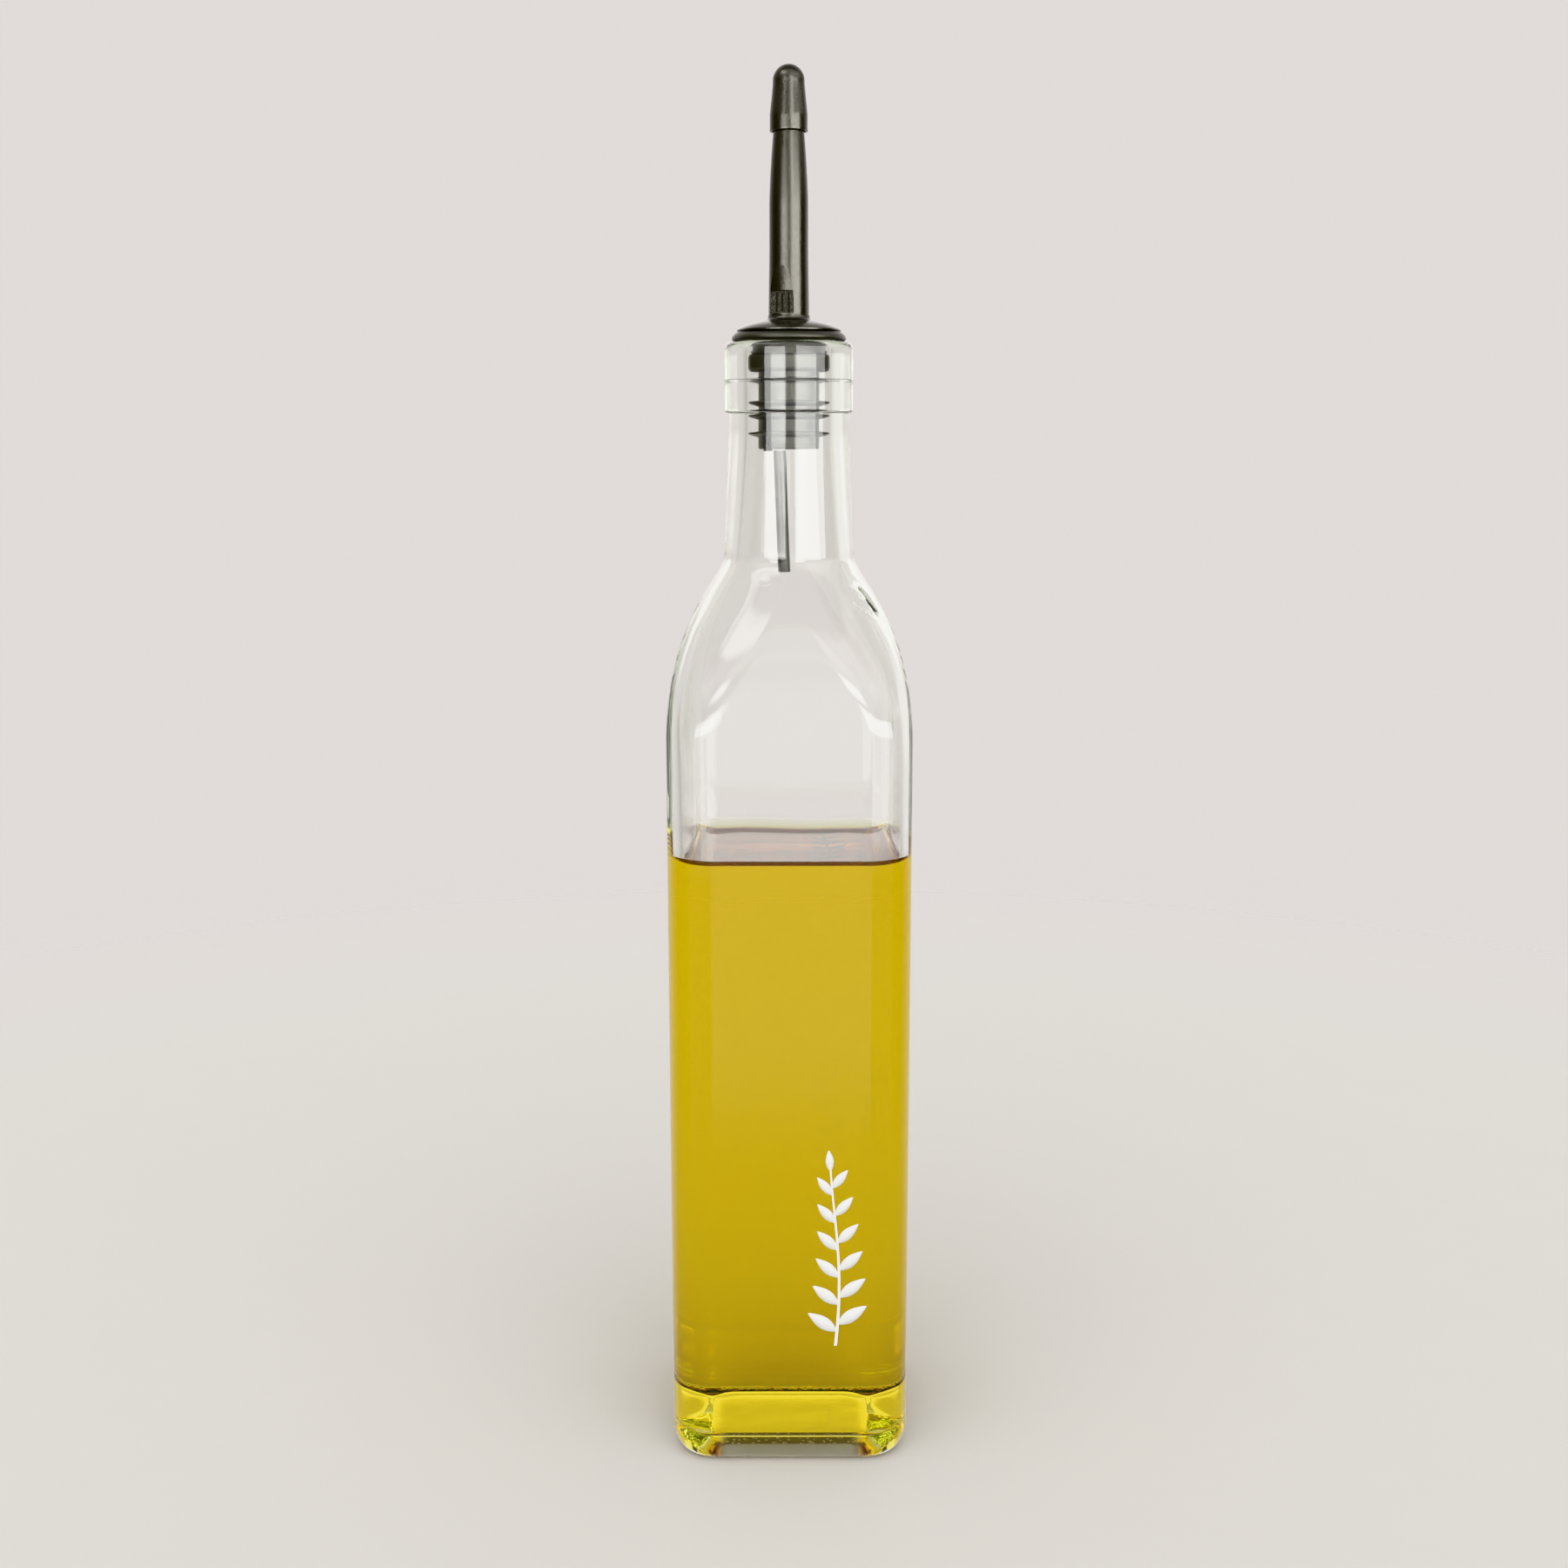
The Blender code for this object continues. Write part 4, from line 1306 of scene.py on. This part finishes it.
def leaf_points(sizes):
    """A point for each leaf, with its size and turn: pairs up the stem, and one leaf at the tip."""
    places, lengths, turns = [], [], []
    for number in range(sizes.pairs):
        part = mix(0.10, 0.86, number / (sizes.pairs - 1))
        for way in (-1, 1):
            at = part + 0.02 * way
            places.append((stem_side(sizes, at), 0.0, mix(sizes.foot, sizes.top, at)))
            lengths.append(sizes.leaf * mix(1.0, 0.62, part))
            turns.append(way * math.radians(mix(58.0, 36.0, part)))
    places.append((stem_side(sizes, 1.0), 0.0, sizes.top - 0.0012))
    lengths.append(sizes.leaf * 0.6)
    turns.append(math.radians(-4.0))
    points = bpy.data.meshes.new("leaf places")
    points.from_pydata(places, [], [])
    for name, values in (("size", lengths), ("turn", turns)):
        points.attributes.new(name, "FLOAT", "POINT").data.foreach_set("value", values)
    return points


class OILBOTTLE_OT_print(bpy.types.Operator):
    """Lay the white vinyl sprig on the front"""

    bl_idname = "oilbottle.print"
    bl_label = "Print"

    def execute(self, context):
        settings = context.scene.oil_bottle
        sizes = settings.print
        finish = vinyl_transfer(settings.colours)
        stem = flat_piece("sprig_stem", stem_outline(sizes), sizes.film)
        stem.data.materials.append(finish)
        leaf = flat_piece("leaf", leaf_outline(), sizes.film / sizes.leaf)
        values = {"Leaf": leaf, "Finish": finish}
        leaves = grow("sprig_leaves", leaf_points(sizes), leaf_tree(), values)
        bpy.data.objects.remove(leaf)
        front = Matrix.Translation((0.0, GLASS_LOW.y, 0.0))
        for piece in (stem, leaves):
            piece.data.transform(front)
            place_piece(piece, "white_print")
        return {"FINISHED"}


def pale_board(colours):
    """Pale painted board that fades into the backdrop's light away from the bottle."""
    finish, tree = new_material("pale painted board")
    place = add_node(tree, "ShaderNodeTexCoord").outputs["Object"]
    away = add_node(tree, "ShaderNodeVectorMath", {"operation": "LENGTH"}, {0: place})
    fade = add_node(tree, "ShaderNodeMapRange", {"interpolation_type": "SMOOTHSTEP"}, {
        "Value": away.outputs["Value"], "From Min": 0.25, "From Max": 0.75,
    })
    # Brushed paint, its marks some 20 mm long
    marks = add_node(tree, "ShaderNodeTexNoise", inputs={
        "Vector": place, "Scale": 50.0, "Detail": 3.0,
    })
    shade = add_node(tree, "ShaderNodeMix", {"data_type": "RGBA"}, {
        0: marks.outputs["Fac"],
        6: (*[c * 0.985 for c in colours.floor], 1.0),
        7: (*colours.floor, 1.0),
    })
    skin = add_node(tree, "ShaderNodeBsdfPrincipled", inputs={
        "Base Color": shade.outputs[2], "Roughness": 0.7, "Specular IOR Level": 0.2,
    })
    unseen = add_node(tree, "ShaderNodeBsdfTransparent")
    surface = add_node(tree, "ShaderNodeMixShader", inputs={
        0: fade.outputs[0], 1: skin.outputs[0], 2: unseen.outputs[0],
    })
    add_node(tree, "ShaderNodeOutputMaterial", inputs={"Surface": surface.outputs[0]})
    return finish


def soft_lights(stage):
    """Each soft light: azimuth from and to, elevation from and to, softness of its edge, strength.

    Azimuths in degrees count from the front, positive to the right. The two windows in front are
    bright over the horizon and dim under it.
    """
    left, right = stage.left_light, stage.right_light
    return (
        (-44.0, -7.0, 0.0, 7.0, 1.0, left),
        (-44.0, -7.0, 7.0, 9.6, 1.0, left * 0.5),
        (-44.0, -7.0, -12.0, 0.0, 1.0, left * 0.25),
        (-34.0, -24.0, 20.0, 27.0, 3.0, left),
        (-80.0, -22.0, 43.0, 55.0, 2.0, left * 0.4),
        (13.0, 67.0, 0.0, 12.0, 1.0, right),
        (13.0, 100.0, 12.0, 48.0, 2.0, right * 0.12),
        (12.0, 28.0, 17.0, 25.0, 2.0, right),
        (13.0, 67.0, -12.0, 0.0, 1.0, right * 0.3),
        (112.0, 165.0, -10.0, 12.0, 4.0, right * 0.04),
        (-7.0, 13.0, -20.0, 30.0, 2.0, stage.front),
        (-70.0, 70.0, 28.0, 75.0, 5.0, stage.front),
        (-104.0, -64.0, -20.0, 15.0, 6.0, -stage.dark),
        (70.0, 104.0, -20.0, 15.0, 6.0, -stage.dark),
        (150.0, 190.0, 4.0, 26.0, 4.0, stage.behind),
        (-190.0, -150.0, 4.0, 26.0, 4.0, stage.behind),
    )


def lights_in_front(tree, known, stage):
    """The sum of the soft lights in a direction."""
    known["total"] = 0.0
    for left, right, low, high, edge, strength in soft_lights(stage):
        known = compute(tree, known, (
            ("from left", "RAMP", "azimuth", left - edge, left + edge),
            ("to right", "RAMP", "azimuth", right + edge, right - edge),
            ("from low", "RAMP", "elevation", low - edge, low + edge),
            ("to high", "RAMP", "elevation", high + edge, high - edge),
            ("light", "MULTIPLY", "from left", "to right"),
            ("light", "MULTIPLY", "light", "from low"),
            ("light", "MULTIPLY", "light", "to high"),
            ("light", "MULTIPLY", "light", strength),
            ("total", "ADD", "light", "total"),
        ))
    return known["total"]


def lit_room(settings):
    """The studio: a light wall all round, and in mirrored light a room in front with soft lights."""
    colours = settings.colours
    world = bpy.data.worlds.new("soft studio")
    world.use_nodes = True
    world.cycles.sampling_method = "NONE"
    tree = world.node_tree
    tree.nodes.clear()
    way = add_node(tree, "ShaderNodeTexCoord").outputs["Generated"]
    axes = add_node(tree, "ShaderNodeSeparateXYZ", inputs={0: way}).outputs
    known = compute(tree, {"x": axes[0], "y": axes[1], "z": axes[2]}, (
        ("front", "MULTIPLY", "y", -1.0),
        ("azimuth", "ARCTAN2", "x", "front"),
        ("azimuth", "DEGREES", "azimuth"),
        ("aside", "ABSOLUTE", "azimuth"),
        ("elevation", "ARCSINE", "z"),
        ("elevation", "DEGREES", "elevation"),
        # The light from the front and above that matt surfaces take
        ("key front", "MULTIPLY", "front", 0.77),
        ("key above", "MULTIPLY", "z", 0.64),
        ("key", "ADD", "key front", "key above"),
        ("key", "MAXIMUM", "key", 0.0),
        ("key", "POWER", "key", 3.0),
        ("key", "MULTIPLY", "key", settings.stage.key),
        ("key", "ADD", "key", settings.stage.fill),
        ("to wall", "RAMP", "aside", 105.0, 135.0),
        ("to ceiling", "RAMP", "elevation", 52.0, 64.0),
    ))
    total = lights_in_front(tree, known, settings.stage)
    lamps, key = [
        add_node(tree, "ShaderNodeCombineColor", inputs={0: grey, 1: grey, 2: grey})
        for grey in (total, known["key"])
    ]
    path = add_node(tree, "ShaderNodeLightPath").outputs
    rays = compute(tree, {"bounces": path["Glossy Depth"], "matt": path["Diffuse Depth"]}, (
        ("mirrored", "GREATER_THAN", "bounces", 0.5),
        ("matt", "GREATER_THAN", "matt", 0.5),
    ))
    shades = {
        "walls": (*colours.backdrop, 1.0),
        "room": (*colours.room, 1.0),
        "ceiling": (*colours.ceiling, 1.0),
        "lamps": lamps.outputs[0],
        "key": key.outputs[0],
    }
    for result, kind, factor, first, second in (
        ("around", "MIX", known["to wall"], "room", "walls"),
        ("under ceiling", "MIX", known["to ceiling"], "around", "ceiling"),
        ("mirrored", "ADD", 1.0, "under ceiling", "lamps"),
        ("seen", "MIX", rays["mirrored"], "walls", "mirrored"),
        ("lit", "MIX", rays["matt"], "seen", "key"),
    ):
        shades[result] = add_node(tree, "ShaderNodeMix", {"data_type": "RGBA", "blend_type": kind}, {
            0: factor, 6: shades[first], 7: shades[second],
        }).outputs[2]
    light = add_node(tree, "ShaderNodeBackground", inputs={"Color": shades["lit"]})
    add_node(tree, "ShaderNodeOutputWorld", inputs={"Surface": light.outputs[0]})
    return world


class OILBOTTLE_OT_stage(bpy.types.Operator):
    """Set the camera, the pale floor and the soft light"""

    bl_idname = "oilbottle.stage"
    bl_label = "Stage"

    def execute(self, context):
        scene = context.scene
        settings = scene.oil_bottle
        stage = settings.stage
        camera = bpy.data.objects.new("camera", bpy.data.cameras.new("camera"))
        scene.collection.objects.link(camera)
        camera.data.lens = stage.lens
        camera.data.sensor_width = 36.0
        camera.location = (-stage.sideways, -stage.distance, stage.height)
        camera.rotation_euler = (math.pi / 2 - stage.pitch, stage.roll, 0.0)
        scene.camera = camera
        mesh = bmesh.new()
        bmesh.ops.create_circle(mesh, cap_ends=True, segments=96, radius=1.5)
        data = bpy.data.meshes.new("floor")
        mesh.to_mesh(data)
        mesh.free()
        floor = bpy.data.objects.new("floor", data)
        # A hair of air stays under the glass, as a base never touches its table all over
        floor.location.z = -0.00015
        data.materials.append(pale_board(settings.colours))
        scene.collection.objects.link(floor)
        floor.visible_glossy = False
        scene.world = lit_room(settings)
        scene.view_settings.view_transform = "Khronos PBR Neutral"
        cycles = scene.cycles
        cycles.max_bounces = 32
        cycles.transmission_bounces = 32
        cycles.glossy_bounces = 16
        cycles.transparent_max_bounces = 32
        cycles.use_denoising = True
        return {"FINISHED"}


STEPS = (
    OILBOTTLE_OT_stage,
    OILBOTTLE_OT_glass,
    OILBOTTLE_OT_oil,
    OILBOTTLE_OT_print,
    OILBOTTLE_OT_stopper,
    OILBOTTLE_OT_fins,
    OILBOTTLE_OT_spout,
    OILBOTTLE_OT_cap,
    OILBOTTLE_OT_tube,
)


class OILBOTTLE_PT_panel(bpy.types.Panel):
    """The bottle's pieces, in the order in which they are made"""

    bl_idname = "OILBOTTLE_PT_panel"
    bl_label = "Oil bottle"
    bl_space_type = "VIEW_3D"
    bl_region_type = "UI"
    bl_category = "Oil bottle"

    def draw(self, context):
        for step in STEPS:
            self.layout.operator(step.bl_idname)
        settings = context.scene.oil_bottle
        for group in ("bottle", "oil", "pourer", "print", "colours", "stage"):
            box = self.layout.box()
            values = getattr(settings, group)
            for name in values.__annotations__:
                box.prop(values, name)


CLASSES = (
    BottleSizes,
    OilSizes,
    PourerSizes,
    PrintSizes,
    Colours,
    StageSizes,
    BottleSettings,
    *STEPS,
    OILBOTTLE_PT_panel,
)


def register():
    for item in CLASSES:
        bpy.utils.register_class(item)
    bpy.types.Scene.oil_bottle = PointerProperty(type=BottleSettings)


def unregister():
    del bpy.types.Scene.oil_bottle
    for item in reversed(CLASSES):
        bpy.utils.unregister_class(item)


def main():
    register()
    for step in STEPS:
        group, name = step.bl_idname.split(".")
        getattr(getattr(bpy.ops, group), name)()


if __name__ == "__main__":
    main()
